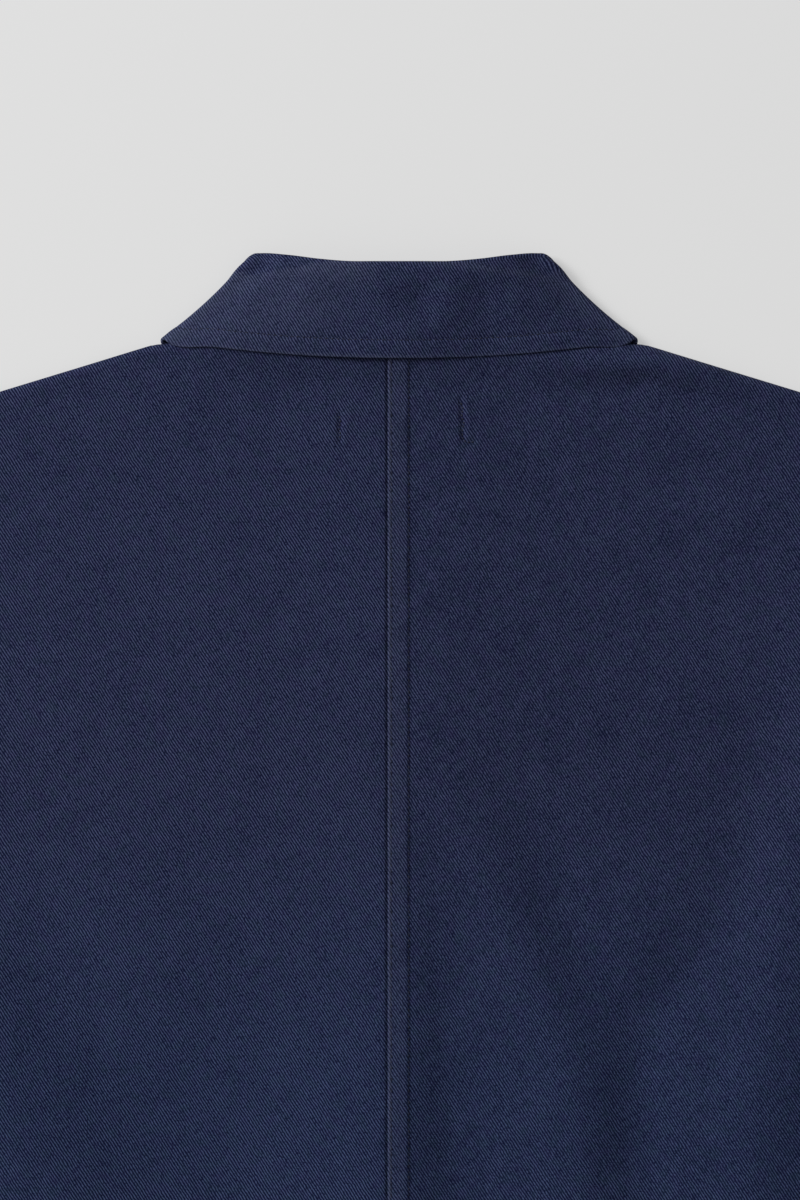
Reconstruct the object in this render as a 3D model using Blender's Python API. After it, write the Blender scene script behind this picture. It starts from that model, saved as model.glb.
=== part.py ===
"""Chore jacket laid out flat on its front, back upwards.

The jacket lies on z = 0 with its collar towards +Y. X runs across it, and the wearer's left is at -X.
Two sheets of cloth lie on each other: the back panels and the upper halves of the sleeves make the top
sheet, and the front panels and the lower halves of the sleeves make the under sheet. They meet in a
rounded edge along the shoulders, sides and sleeves. The collar rises from the neck seam, folds over at
the top and falls back down over the neckline, going round both sides of the neck to the front.

Plan sizes are drawn from the high shoulder point, where the shoulder meets the neck, and drop() moves
each finished point so that the origin is the centre of the whole jacket on the floor.
"""

import math

import bmesh
import bpy
from mathutils import Vector

MM = 0.001

# Cloth
CLOTH = 1.2 * MM  # wall of a body panel, sleeve or pocket
COLLAR_CLOTH = 1.8 * MM  # two plies sewn together
SEAM_GAP = 0.3 * MM  # between two pieces at a seam
LAY_GAP = 0.4 * MM  # between a piece and what lies on it

# Body, half sizes where it is symmetrical
NECK_HALF = 83.2 * MM
SHOULDER_HALF = 235 * MM
SHOULDER_SLOPE = 0.305
CHEST_HALF = 280 * MM
HEM_HALF = 285 * MM
BACK_NECK_DROP = 11 * MM
FRONT_NECK_DROP = 86 * MM
ARMHOLE_DROP = 300 * MM
BODY_LENGTH = 730 * MM
HEM_RISE = 6 * MM  # the side seam ends this much above the centre of the hem
PLACKET_HALF = 20 * MM  # each front runs this far past the centre line
EDGE_ROUND = 4 * MM  # plan width of the rounded edge where top and under sheet meet

# Centre back seam, felled: the right panel is lapped over the edge of the left one
FELL_LEFT = -6.0 * MM
FELL_RIGHT = 5.5 * MM
FELL_STEP = 2.2 * MM
FELL_UNDER = 5.0 * MM

# Handles of the armhole's curve, from its two ends
ARMHOLE_HIGH = Vector((-13 * MM, -84 * MM))
ARMHOLE_LOW = Vector((-50 * MM, 16 * MM))

# Sleeve, as it lies: its two edges, and the handles of their curves
CUFF_OUTER = Vector((545 * MM, -572 * MM))
CUFF_INNER = Vector((417 * MM, -640 * MM))
SHOULDER_HANDLE = Vector((52 * MM, -17 * MM))
ELBOW = Vector((402 * MM, -300 * MM))
UNDERARM_HANDLE = Vector((22 * MM, -52 * MM))
WRIST = Vector((372 * MM, -548 * MM))

SLEEVE_FAN = 1.3  # its rings start close together at the underarm and fan out
TURNING_RINGS = 4  # the first rings turn from the armhole's line to straight across the sleeve
LINE_HANDLE = 36 * MM

# Collar
COLLAR_TOP = 34.2 * MM  # highest point of the folded collar
COLLAR_DIP = 4.5 * MM  # the fold is this much lower at the centre back
COLLAR_EDGE = -21.2 * MM  # lower edge of the collar at the centre back
COLLAR_EDGE_RISE = 8.9 * MM  # the edge rises this much towards the shoulders
COLLAR_SPREAD = 119.3 * MM  # half width of the collar's lower edge, up to where it turns under
FOLD_RADIUS = 1.25 * MM  # of the middle of the cloth where the collar folds over

# Heights of the two sheets
TOP_LEVEL = 5.6 * MM  # outer face of the top sheet away from the folds
PLACKET_CROWN = 2.2 * MM  # the back lies this much higher over the buttoned placket
PLACKET_CROWN_WIDTH = 45 * MM
NECK_RISE = 1.0 * MM  # and round the neck, over the collar
DEEPEST_FOLD = 1.3 * MM  # the top sheet stays clear of the front where a pocket lifts it

# Buttons and pockets
BUTTON_RADIUS = 10 * MM
BUTTON_THICK = 2.2 * MM
BUTTONS = 5
BUTTON_SPACING = 5  # in rows of the panels
POCKET_CORNER = 22 * MM

ROUND_ANGLES = [math.radians(a) for a in (90, 60, 30, 0)]  # from the seam in to the flat
FRONT_NECK_ANGLES = (65, 51, 38, 25)  # where the front neck seam has points, in degrees, going down
ARMHOLE_ROWS = 8  # and across a sleeve
SIDE_ROWS = 15
SHOULDER_COLUMNS = 8
SLEEVE_RINGS = 14

NAVY = (0.022, 0.028, 0.064, 1.0)
COLLAR_NAVY = (0.026, 0.032, 0.070, 1.0)
BUTTON_NAVY = (0.012, 0.014, 0.028, 1.0)

SHOULDER_POINT = Vector((SHOULDER_HALF, -SHOULDER_SLOPE * (SHOULDER_HALF - NECK_HALF)))
UNDERARM = Vector((CHEST_HALF, -ARMHOLE_DROP))
HEM_CORNER = Vector((HEM_HALF, HEM_RISE - BODY_LENGTH))
ORIGIN_Y = (COLLAR_TOP - BODY_LENGTH) / 2

# Soft folds in the top sheet: a ridge, or a trough where height is negative, along a line in plan.
FOLD_COLUMNS = ("x0", "y0", "x1", "y1", "width", "height")  # all in millimetres
FOLDS = [
    (16, -270, 15, -560, 9, -0.6),  # beside the centre back seam
    (52, -205, 108, -372, 17, -1.5),  # left arm of the Y on the right panel
    (178, -300, 112, -376, 17, -1.5),  # its right arm
    (109, -366, 112, -590, 18, -1.7),  # its stem
    (206, -150, 178, -300, 22, 1.9),  # ridge down from the right armhole
    (178, -300, 136, -450, 22, 1.9),
    (136, -450, 150, -640, 24, 1.4),
    (62, -330, 60, -640, 24, 1.2),
    (-225, -318, -100, -452, 24, -1.6),  # from the left underarm inwards
    (-190, -318, -96, -398, 22, 1.5),
    (-100, -452, -92, -650, 22, -1.1),
    (-160, -430, -170, -660, 30, 1.6),
    (238, -360, 224, -640, 24, -1.2),
    (-245, -400, -238, -650, 22, -1.1),
    (-268, -96, -296, -236, 20, 1.6),  # left sleeve, down from the shoulder
    (-292, -286, -372, -262, 15, 2.0),  # left sleeve, out from the underarm
    (-306, -322, -392, -312, 14, -1.0),
    (-330, -372, -432, -352, 16, 2.1),  # left elbow
    (-352, -410, -440, -404, 13, -1.0),
    (-372, -452, -470, -426, 15, 1.7),
    (-404, -546, -498, -528, 16, 1.2),
    (266, -104, 300, -240, 20, 1.7),  # right sleeve, down from the shoulder
    (294, -292, 380, -282, 15, 2.1),  # right sleeve, out from the underarm
    (312, -330, 404, -340, 14, -1.0),
    (336, -388, 428, -364, 17, 1.9),  # right elbow
    (350, -424, 452, -418, 13, -1.0),
    (380, -470, 480, -452, 15, 1.8),
    (412, -566, 506, -536, 16, 1.3),
]

# Patch pockets on the fronts, outside of the wearer's left (-X) or right (+X) front
POCKETS = {
    "hip_pocket_right": {"inner": 68, "outer": 232, "top": -478, "bottom": -668},
    "hip_pocket_left": {"inner": -68, "outer": -232, "top": -478, "bottom": -668},
    "chest_pocket": {"inner": -84, "outer": -196, "top": -236, "bottom": -366},
}


def smooth(t):
    """0 up to t = 0, 1 from t = 1, and a smooth S between."""
    t = min(1.0, max(0.0, t))
    return t * t * (3 - 2 * t)


def bezier(p0, p1, p2, p3, t):
    s = 1 - t
    return p0 * s**3 + p1 * (3 * s * s * t) + p2 * (3 * s * t * t) + p3 * t**3


def along(line, distance):
    """The point at that distance along a polyline."""
    for a, b in zip(line, line[1:]):
        length = (b - a).length
        if distance <= length or b is line[-1]:
            return a.lerp(b, min(1.0, distance / length))
        distance -= length
    return line[-1]


def line_length(line):
    return sum((b - a).length for a, b in zip(line, line[1:]))


def edge_distance(point, polygon):
    """Distance from a point to a polygon's edge, negative inside it."""
    nearest = math.inf
    inside = False
    for a, b in zip(polygon, polygon[1:] + polygon[:1]):
        span = b - a
        t = min(1.0, max(0.0, (point - a).dot(span) / span.length_squared))
        nearest = min(nearest, (point - a - span * t).length)
        if (a.y > point.y) != (b.y > point.y):
            if point.x < a.x + span.x * (point.y - a.y) / span.y:
                inside = not inside
    return -nearest if inside else nearest


# ---------------------------------------------------------------- outlines in plan, right half


def back_neckline(x):
    """Y of the back neck seam."""
    share = min(1.0, abs(x) / NECK_HALF)
    return -BACK_NECK_DROP * (1 - share**2.6)


def front_neckline(x):
    """Y of the front neck seam, a quarter ellipse from the placket to the high point."""
    share = min(1.0, max(0.0, x) / NECK_HALF)
    return -FRONT_NECK_DROP * math.sqrt(1 - share * share)


def shoulder_line(x):
    """Y of the shoulder edge, drawn in a little where the collar is folded round it."""
    tuck = 2.3 * MM * smooth((x - 96 * MM) / (20 * MM)) * smooth((132 * MM - x) / (10 * MM))
    return -SHOULDER_SLOPE * (x - NECK_HALF) - tuck


def hem_line(x):
    return HEM_RISE * (abs(x) / HEM_HALF) ** 2 - BODY_LENGTH


def armhole_curve(t):
    """From the shoulder point down, in a little, and out to the underarm."""
    high, low = SHOULDER_POINT + ARMHOLE_HIGH, UNDERARM + ARMHOLE_LOW
    return bezier(SHOULDER_POINT, high, low, UNDERARM, t)


def round_angle(distance):
    """How far the cloth has turned towards the edge, at that distance from it in plan."""
    return math.asin(1 - min(distance, EDGE_ROUND) / EDGE_ROUND)


def row_distances(length, far_rounds=None):
    """Distances of the rows down an armhole or across a flat sleeve, close at both rounded edges."""
    rounds = [EDGE_ROUND * (1 - math.sin(a)) for a in ROUND_ANGLES]
    far_rounds = far_rounds or rounds
    span = length - EDGE_ROUND - far_rounds[-1]
    flat = [EDGE_ROUND + span * i / ARMHOLE_ROWS for i in range(1, ARMHOLE_ROWS)]
    return rounds + flat + [length - d for d in reversed(far_rounds)]


def right_boundary():
    """The outer edge of a panel, a point for each row: armhole, then side seam."""
    fine = [armhole_curve(i / 60) for i in range(61)]
    armhole = [along(fine, d) for d in row_distances(line_length(fine))]
    side = [UNDERARM.lerp(HEM_CORNER, i / SIDE_ROWS) for i in range(1, SIDE_ROWS + 1)]
    return armhole, armhole + side


ARMHOLE, OUTER_EDGE = right_boundary()
UNDERARM_ROW = len(ARMHOLE) - 1
BODY_ROWS = len(OUTER_EDGE) - len(ROUND_ANGLES)  # below the rounded rows of the shoulder


def sleeve_edges(share):
    """The two edges of the flat sleeve at a share of its length: shoulder side, underarm side."""
    outer = bezier(SHOULDER_POINT, SHOULDER_POINT + SHOULDER_HANDLE, ELBOW, CUFF_OUTER, share)
    fanned = share**SLEEVE_FAN
    inner = bezier(UNDERARM, UNDERARM + UNDERARM_HANDLE, WRIST, CUFF_INNER, fanned)
    return outer, inner


def collar_front_outline():
    """The part of the collar that lies under the right front, for the space it takes."""
    points = [(80, 30), (124, -10), (115, -52), (93, -96), (59, -135), (0, -72)]
    return [Vector(p) * MM for p in points]


COLLAR_OUTLINE = collar_front_outline()


def pocket_outline(sizes):
    """A patch with its lower corners rounded, counter-clockwise from above."""
    left, right = sorted((sizes["inner"] * MM, sizes["outer"] * MM))
    top, bottom = sizes["top"] * MM, sizes["bottom"] * MM
    outline = [Vector((right, top)), Vector((left, top))]
    for centre_x, start in ((left + POCKET_CORNER, 180), (right - POCKET_CORNER, 270)):
        centre = Vector((centre_x, bottom + POCKET_CORNER))
        for step in range(5):
            angle = math.radians(start + step * 22.5)
            outline.append(centre + POCKET_CORNER * Vector((math.cos(angle), math.sin(angle))))
    return outline


POCKET_OUTLINES = {name: pocket_outline(sizes) for name, sizes in POCKETS.items()}


def placket_rows():
    """Y of each panel row at the centre front, from the neck seam to the hem."""
    top = -FRONT_NECK_DROP
    rounds = [top - EDGE_ROUND * (1 - math.sin(a)) for a in ROUND_ANGLES]
    step = (BODY_LENGTH - FRONT_NECK_DROP - EDGE_ROUND) / BODY_ROWS
    return rounds + [rounds[-1] - step * i for i in range(1, BODY_ROWS + 1)]


def button_places():
    """Each button lies half way between two rows of the panels."""
    rows = placket_rows()
    above = [len(ROUND_ANGLES) - 1 + BUTTON_SPACING * i for i in range(BUTTONS)]
    return [(rows[i] + rows[i + 1]) / 2 for i in above]


BUTTON_YS = button_places()

# ---------------------------------------------------------------- heights of the two sheets


def fold_height(x, y):
    """What the soft folds add to the top sheet."""
    total = 0.0
    for row in FOLDS:
        fold = {name: value * MM for name, value in zip(FOLD_COLUMNS, row)}
        start = Vector((fold["x0"], fold["y0"]))
        span = Vector((fold["x1"], fold["y1"])) - start
        t = (Vector((x, y)) - start).dot(span) / span.length_squared
        past = max(0.0, -t, t - 1) * span.length
        across = (Vector((x, y)) - start - span * t).length
        ending = math.exp(-((past / (fold["width"] * 1.4)) ** 2))
        ending *= smooth(0.25 + 1.5 * min(t + 0.3, 1.3 - t))
        total += fold["height"] * math.exp(-((across / fold["width"]) ** 2)) * ending
    return max(-DEEPEST_FOLD, total)


def top_height(x, y):
    """Z of the outer face of the top sheet."""
    crown = PLACKET_CROWN * math.exp(-((x / PLACKET_CROWN_WIDTH) ** 2))
    nape = NECK_RISE * smooth((155 * MM - abs(x)) / (60 * MM)) * smooth(1 + y / (120 * MM))
    return TOP_LEVEL + crown + nape + fold_height(x, y)


def lift(distance, height, level, fall):
    """Cloth lies at height over what is under it, stays so for level past it, and then falls."""
    return height * smooth(1 - (distance - level) / fall)


def under_height(x, y):
    """Z of the outer face of the under sheet: the floor, but for what the fronts lie on."""
    point = Vector((x, y))
    collar = edge_distance(Vector((abs(x), y)), COLLAR_OUTLINE)
    found = [lift(collar, COLLAR_CLOTH + LAY_GAP, 15 * MM, 28 * MM)]
    for outline in POCKET_OUTLINES.values():
        found.append(lift(edge_distance(point, outline), CLOTH + LAY_GAP, 18 * MM, 26 * MM))
    for button_y in BUTTON_YS:
        button = (point - Vector((0, button_y))).length
        found.append(lift(button, BUTTON_THICK + LAY_GAP, 18 * MM, 30 * MM))
    return max(found)


def seam_height(x, y):
    """Z at which the top and under sheets meet."""
    return (under_height(x, y) + TOP_LEVEL) / 2


# ---------------------------------------------------------------- building a wall of cloth


def drop(point):
    """From plan sizes to the jacket's own frame."""
    return Vector((point[0], point[1] - ORIGIN_Y, point[2]))


def material(name, colour, roughness):
    made = bpy.data.materials.get(name)
    if made is None:
        made = bpy.data.materials.new(name)
        made.use_nodes = True
        shader = made.node_tree.nodes["Principled BSDF"]
        shader.inputs["Base Color"].default_value = colour
        shader.inputs["Roughness"].default_value = roughness
        shader.inputs["Metallic"].default_value = 0.0
    return made


def finish(mesh_name, bm, finish_material):
    """A named object from a bmesh, with its faces pointing out."""
    bmesh.ops.recalc_face_normals(bm, faces=bm.faces)
    mesh = bpy.data.meshes.new(mesh_name)
    bm.to_mesh(mesh)
    bm.free()
    mesh.shade_smooth()
    mesh.set_sharp_from_angle(angle=math.radians(40))
    mesh.materials.append(finish_material)
    made = bpy.data.objects.new(mesh_name, mesh)
    bpy.context.scene.collection.objects.link(made)
    return made


def wall(name, outer, inner, finish_material, tube=False):
    """A closed wall from two grids of points, rows by columns. A tube's last column meets its first."""
    bm = bmesh.new()
    sheets = [[[bm.verts.new(drop(p)) for p in row] for row in grid] for grid in (outer, inner)]
    rows, columns = len(outer), len(outer[0])
    last = columns if tube else columns - 1
    for sheet in sheets:
        for i in range(rows - 1):
            for j in range(last):
                k = (j + 1) % columns
                bm.faces.new((sheet[i][j], sheet[i][k], sheet[i + 1][k], sheet[i + 1][j]))
    out, back = sheets
    for i in (0, rows - 1):
        for j in range(last):
            k = (j + 1) % columns
            bm.faces.new((out[i][j], out[i][k], back[i][k], back[i][j]))
    if not tube:
        for j in (0, columns - 1):
            for i in range(rows - 1):
                bm.faces.new((out[i][j], out[i + 1][j], back[i + 1][j], back[i][j]))
    return finish(name, bm, finish_material)


# ---------------------------------------------------------------- body panels


def panel_columns(first, neck, shoulder_line_y, neckline_y):
    """The top and hem end of each column of a panel, and how much its rows follow the outer edge.

    first and neck are x values, from the centre to the high point; the rest is even along the shoulder.
    """
    steady = first[-1]
    collar_side = [NECK_HALF + d * MM for d in (17, 34, 49)]
    inset = SHOULDER_HALF - EDGE_ROUND
    open_columns = SHOULDER_COLUMNS - len(collar_side)
    shoulder = [
        collar_side[-1] + (inset - collar_side[-1]) * i / open_columns for i in range(1, open_columns)
    ]
    tops = [(x, neckline_y(x)) for x in first + neck]
    tops += [(x, shoulder_line_y(x)) for x in [NECK_HALF] + collar_side + shoulder]
    columns = []
    for x, y in tops:
        if x <= steady:
            hem_x = x
        else:
            hem_x = steady + (x - steady) * (HEM_HALF - EDGE_ROUND - steady) / (inset - steady)
        follow = max(0.0, (x - steady) / (inset - steady)) ** 2
        columns.append((Vector((x, y)), Vector((hem_x, hem_line(hem_x))), follow))
    for angle in reversed(ROUND_ANGLES):
        inward = EDGE_ROUND * (1 - math.sin(angle))
        x, hem_x = SHOULDER_HALF - inward, HEM_HALF - inward
        columns.append((Vector((x, shoulder_line_y(x))), Vector((hem_x, hem_line(hem_x))), 1.0))
    return columns


def panel_places(row_ys, columns):
    """Plan points of a right-hand panel, rows by columns. The outer columns follow the armhole and side."""
    places = []
    for row_y, edge in zip(row_ys, OUTER_EDGE):
        share = (row_y - row_ys[0]) / (row_ys[-1] - row_ys[0])
        stray = edge - columns[-1][0].lerp(columns[-1][1], share)
        places.append([top.lerp(hem, share) + stray * follow for top, hem, follow in columns])
    return places


def panel(name, side, row_ys, columns, height, up, finish_material):
    """A body panel of one side (-1 or 1). height(x, y) is its outer face, which points up or down."""
    outer, inner = [], []
    places = panel_places(row_ys, columns)
    for i, row in enumerate(places):
        outer_row, inner_row = [], []
        for j, place in enumerate(row):
            top = columns[j][0]
            row_angle = ROUND_ANGLES[i] if i < len(ROUND_ANGLES) and top.x >= NECK_HALF else 0.0
            if i < UNDERARM_ROW:
                column_angle = round_angle((place - UNDERARM).length)
            else:
                column_angle = round_angle(SHOULDER_HALF - max(top.x, SHOULDER_HALF - EDGE_ROUND))
            seam = seam_height(side * place.x, place.y) + up * SEAM_GAP / 2
            rise = math.cos(row_angle) * math.cos(column_angle)
            z = seam + (height(side * place.x, place.y) - seam) * rise
            upwards = (place - places[min(i + 1, len(places) - 1)][j]).normalized() * math.sin(row_angle)
            outwards = (place - row[max(j - 1, 0)]).normalized() * math.sin(column_angle)
            away = upwards + outwards
            normal = Vector((side * away.x, away.y, up * rise)).normalized()
            point = Vector((side * place.x, place.y, z))
            outer_row.append(point)
            inner_row.append(point - normal * CLOTH)
        outer.append(outer_row)
        inner.append(inner_row)
    return wall(name, outer, inner, finish_material)


def back_rows():
    """Y of each row of a back panel at the centre back seam."""
    rounds = [-BACK_NECK_DROP - EDGE_ROUND * (1 - math.sin(a)) for a in ROUND_ANGLES]
    step = (BODY_LENGTH - BACK_NECK_DROP - EDGE_ROUND) / BODY_ROWS
    return rounds + [rounds[-1] - step * i for i in range(1, BODY_ROWS + 1)]


def felled_height(x, y):
    """The right back panel, raised where it is lapped over the edge of the left one."""
    raised = x < FELL_RIGHT + FELL_STEP / 2
    return top_height(x, y) + (CLOTH + LAY_GAP if raised else 0.0)


def lapped_height(x, y):
    """The right front, which lies over the left one along the placket."""
    lapped = x < PLACKET_HALF + 2 * MM
    return under_height(x, y) + (CLOTH + LAY_GAP if lapped else 0.0)


def build_backs(cloth):
    neck = [x * MM for x in (24, 42, 60, 78.7)]
    lapped = [FELL_LEFT, FELL_RIGHT, FELL_RIGHT + FELL_STEP]
    right = panel_columns(lapped, neck, shoulder_line, back_neckline)
    left = panel_columns([-FELL_UNDER, -FELL_LEFT + 0.4 * MM], neck, shoulder_line, back_neckline)
    panel("back_right", 1, back_rows(), right, felled_height, 1, cloth)
    panel("back_left", -1, back_rows(), left, top_height, 1, cloth)


def build_fronts(cloth):
    edge = PLACKET_HALF
    middle = [x * MM for x in (-10.5, 0, 10.5)]
    neck = [NECK_HALF * math.sin(math.radians(a)) for a in FRONT_NECK_ANGLES[::-1] + (79,)]
    right = panel_columns([-edge] + middle + [edge + 0.6 * MM], neck, shoulder_line, front_neckline)
    left = panel_columns([-edge] + middle + [edge], neck, shoulder_line, front_neckline)
    panel("front_right", 1, placket_rows(), right, lapped_height, -1, cloth)
    panel("front_left", -1, placket_rows(), left, under_height, -1, cloth)


# ---------------------------------------------------------------- sleeves


def shifted_armhole():
    """The armhole moved out by the seam gap, for the sleeve's end."""
    moved = []
    for i, point in enumerate(ARMHOLE):
        before = ARMHOLE[max(0, i - 1)]
        after = ARMHOLE[min(len(ARMHOLE) - 1, i + 1)]
        direction = (after - before).normalized()
        moved.append(point + Vector((-direction.y, direction.x)) * SEAM_GAP)
    return moved


def sleeve_lines():
    """Plan lines across the sleeve, from its shoulder edge to its underarm edge, armhole first.

    Each is a curve whose ends are handles. The armhole's are turned by and by, until a line crosses the
    sleeve squarely.
    """
    start = shifted_armhole()
    edges = [sleeve_edges(i / SLEEVE_RINGS) for i in range(SLEEVE_RINGS + 1)]
    lines = [start]
    scoop = math.atan2(ARMHOLE_LOW.y, ARMHOLE_LOW.x)
    for i in range(1, SLEEVE_RINGS + 1):
        first, last = edges[i][0] + start[0] - SHOULDER_POINT, edges[i][1] + start[-1] - UNDERARM
        way = edges[min(i + 1, SLEEVE_RINGS)][1] - edges[i - 1][1]
        square = math.atan2(way.y, way.x) + math.pi / 2
        turn = square + (scoop - square) * max(0.0, 1 - i / TURNING_RINGS) ** 2.6
        reach = (last - first) / 3
        near = first + reach + (ARMHOLE_HIGH - reach) * max(0.0, 1 - i / (TURNING_RINGS + 1))
        far = last + Vector((math.cos(turn), math.sin(turn))) * LINE_HANDLE
        lines.append([bezier(first, near, far, last, t / 24) for t in range(25)])
    return lines


def nearest_on(line, point):
    """The nearest point of a polyline."""
    found = []
    for a, b in zip(line, line[1:]):
        t = (point - a).dot(b - a) / (b - a).length_squared
        found.append(a.lerp(b, min(1.0, max(0.0, t))))
    return min(found, key=lambda near: (point - near).length)


def far_rounds(line, edge):
    """How far from its end a line is as far from the underarm edge as each rounded row lies in."""
    wanted = [EDGE_ROUND * (1 - math.sin(a)) for a in ROUND_ANGLES]
    length = line_length(line)
    found, back = [0.0], 0.0
    for distance in wanted[1:]:
        while back < length / 3:
            place = along(line, length - back)
            if (nearest_on(edge, place) - place).length >= distance:
                break
            back += 0.05 * MM
        found.append(back)
    return found


def edge_normals(lines, i):
    """Directions out of the sleeve at the shoulder and underarm ends of a line."""
    line, after, before = lines[i], lines[min(i + 1, len(lines) - 1)], lines[max(i - 1, 0)]
    shoulder_way = (after[0] - before[0]).normalized()
    underarm_way = (after[-1] - before[-1]).normalized()
    near = Vector((-shoulder_way.y, shoulder_way.x))
    far = Vector((underarm_way.y, -underarm_way.x))
    if i == 0:
        armhole_end = (line[-1] - line[-2]).normalized()
        return (line[0] - line[1]).normalized(), (armhole_end + far * 3).normalized()
    return near, far


def sleeve_ring(lines, i, side):
    """The outer and inner points round the sleeve: over the top sheet, and back along the under one."""
    line, underarm_edge = lines[i], [each[-1] for each in lines]
    near, far = edge_normals(lines, i)
    length = line_length(line)
    distances = row_distances(length, far_rounds(line, underarm_edge) if i else None)
    outer_ring, inner_ring = [], []
    for up, order in ((1, distances), (-1, distances[-2:0:-1])):
        for distance in order:
            place = along(line, distance)
            if distance < length / 2:
                angle, away = round_angle(distance), near
            else:
                angle, away = round_angle((nearest_on(underarm_edge, place) - place).length), far
            x, y = side * place.x, place.y
            seam = seam_height(x, y)
            sheet = top_height(x, y) if up > 0 else under_height(x, y)
            point = Vector((x, y, seam + (sheet - seam) * math.cos(angle)))
            away = away * math.sin(angle)
            normal = Vector((side * away.x, away.y, up * math.cos(angle)))
            outer_ring.append(point)
            inner_ring.append(point - normal * CLOTH)
    return outer_ring, inner_ring


def build_sleeve(name, side, cloth):
    lines = sleeve_lines()
    rings = [sleeve_ring(lines, i, side) for i in range(len(lines))]
    return wall(name, [r[0] for r in rings], [r[1] for r in rings], cloth, tube=True)


# ---------------------------------------------------------------- collar

# Where each ring of the collar turns round the side of the neck, in millimetres: the last point on the
# back, the first on the front, and how far it bulges out between them.
TURN_COLUMNS = ("back_x", "back_y", "front_x", "front_y", "bulge_x", "bulge_y")
TURNS = {
    "neck": (79.0, -0.7, 80.4, -12.6, 1.5, 11.6),
    "fold": (74.8, 32.05, 76.8, 20.6, 3.4, 1.6),
    "edge": (118.8, -12.0, 121.0, -17.4, 2.9, 4.2),
}
TURN_ANGLES = [math.radians(a) for a in (30, 60, 90, 120, 150)]
COLLAR_BACK_XS = (0, 12, 26, 42, 58)  # columns of the back of the collar, at the fold
COLLAR_HOLLOW = 3.3 * MM  # the sides of the collar are drawn in by this half way down


def turn_of(ring):
    values = dict(zip(TURN_COLUMNS, TURNS[ring]))
    back = Vector((values["back_x"], values["back_y"])) * MM
    front = Vector((values["front_x"], values["front_y"])) * MM
    return back, front, Vector((values["bulge_x"], values["bulge_y"])) * MM


def fold_top(x):
    """Y of the centre of the folded edge along the back."""
    rise = smooth((abs(x) / MM - 22) / 62)
    return COLLAR_TOP - COLLAR_DIP + COLLAR_DIP * 1.16 * rise - FOLD_RADIUS - COLLAR_CLOTH / 2


def edge_bottom(x):
    """Y of the collar's lower edge along the back."""
    return COLLAR_EDGE + COLLAR_EDGE_RISE * (x / COLLAR_SPREAD) ** 2


def front_paths():
    """The rings along the front, from the side of the neck to the centre front, by eye of the curve."""
    neck = []
    for angle in [math.radians(a) for a in FRONT_NECK_ANGLES + (13.9, 1.2)]:
        out = Vector((math.sin(angle), -math.cos(angle)))
        neck.append(Vector((NECK_HALF * out.x, FRONT_NECK_DROP * out.y)) - out * 0.75 * MM)
    fold = [Vector(p) * MM for p in ((70, 6), (62, -14), (50, -34), (36, -51), (20, -65), (2.6, -76))]
    edge = [Vector(p) * MM for p in ((121, -34), (117, -56), (107, -78), (93, -99), (76, -119), (57, -136))]
    return {"neck": neck, "fold": fold, "edge": edge}


def ring_plan(ring):
    """Plan points of a ring from the centre back to the centre front, and each one's turning angle."""
    back, front, bulge = turn_of(ring)
    rising = {"neck": lambda x: back_neckline(x) + 0.6 * MM, "fold": fold_top, "edge": edge_bottom}[ring]
    scale = back.x / turn_of("fold")[0].x
    points = [(Vector((x * MM * scale, rising(x * MM * scale))), 0.0) for x in COLLAR_BACK_XS]
    points.append((back, 0.0))
    for angle in TURN_ANGLES:
        share = (1 - math.cos(angle)) / 2
        points.append((back.lerp(front, share) + bulge * math.sin(angle), angle))
    points.append((front, math.pi))
    points += [(p, math.pi) for p in front_paths()[ring]]
    return points


def back_and_front_level(ring, place):
    """Z of the middle of the cloth on the back and on the front, for a ring at a place."""
    x = place.x / MM
    bridge = math.exp(-((x / 55) ** 2))
    resting = TOP_LEVEL + NECK_RISE + LAY_GAP + COLLAR_CLOTH / 2
    if ring == "neck":
        return top_height(place.x, place.y) - CLOTH / 2, COLLAR_CLOTH * 1.5 + LAY_GAP
    if ring == "fold":
        return TOP_LEVEL + NECK_RISE + 1.3 * MM + 2.4 * MM * bridge, COLLAR_CLOTH / 2 + FOLD_RADIUS
    return resting + (PLACKET_CROWN + CLOTH + LAY_GAP) * bridge, COLLAR_CLOTH / 2


def ring_points(ring):
    """The ring in space, and the direction out of the neck at each point."""
    placed = []
    for place, angle in ring_plan(ring):
        back_z, front_z = back_and_front_level(ring, place)
        z = (back_z + front_z) / 2 + (back_z - front_z) / 2 * math.cos(angle)
        bulge = turn_of(ring)[2].normalized()
        out = Vector((bulge.x * math.sin(angle), bulge.y * math.sin(angle), math.cos(angle)))
        placed.append((Vector((place.x, place.y, z)), out))
    return placed


def collar_half():
    """Rows from the neck seam up the stand, over the fold and down to the edge, for the right half."""
    neck, fold, edge = (ring_points(r) for r in ("neck", "fold", "edge"))
    columns = []
    first_turn = len(COLLAR_BACK_XS)
    last_turn = first_turn + len(TURN_ANGLES) + 1
    for j, ((low, _), (centre, out), (end, _)) in enumerate(zip(neck, fold, edge)):
        following = fold[min(j + 1, len(fold) - 1)][0] - fold[max(j - 1, 0)][0]
        ring_direction = Vector((1, 0, 0)) if j == 0 else following.normalized()
        up = out.cross(ring_direction).normalized()
        if up.dot(centre - low) < 0:
            up = -up
        turn = [
            centre + FOLD_RADIUS * (out * math.sin(a) + up * math.cos(a))
            for a in (math.radians(v) for v in (-90, -45, 0, 45, 90))
        ]
        stand = [low.lerp(turn[0], t) for t in (0, 0.35, 0.7)]
        from_turn = max(0, first_turn - j, j - last_turn)
        drawn_in = COLLAR_HOLLOW * max(0.0, 1 - 0.55 * from_turn)
        fall = []
        for t in (0.28, 0.55, 0.8, 1.0):
            hollow = Vector((0.9, 0.44, 0)) * (drawn_in * 4 * t * (1 - t))
            fall.append(turn[-1].lerp(end, t) - hollow)
        columns.append(stand + turn + fall)
    return [list(row) for row in zip(*columns)]


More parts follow.
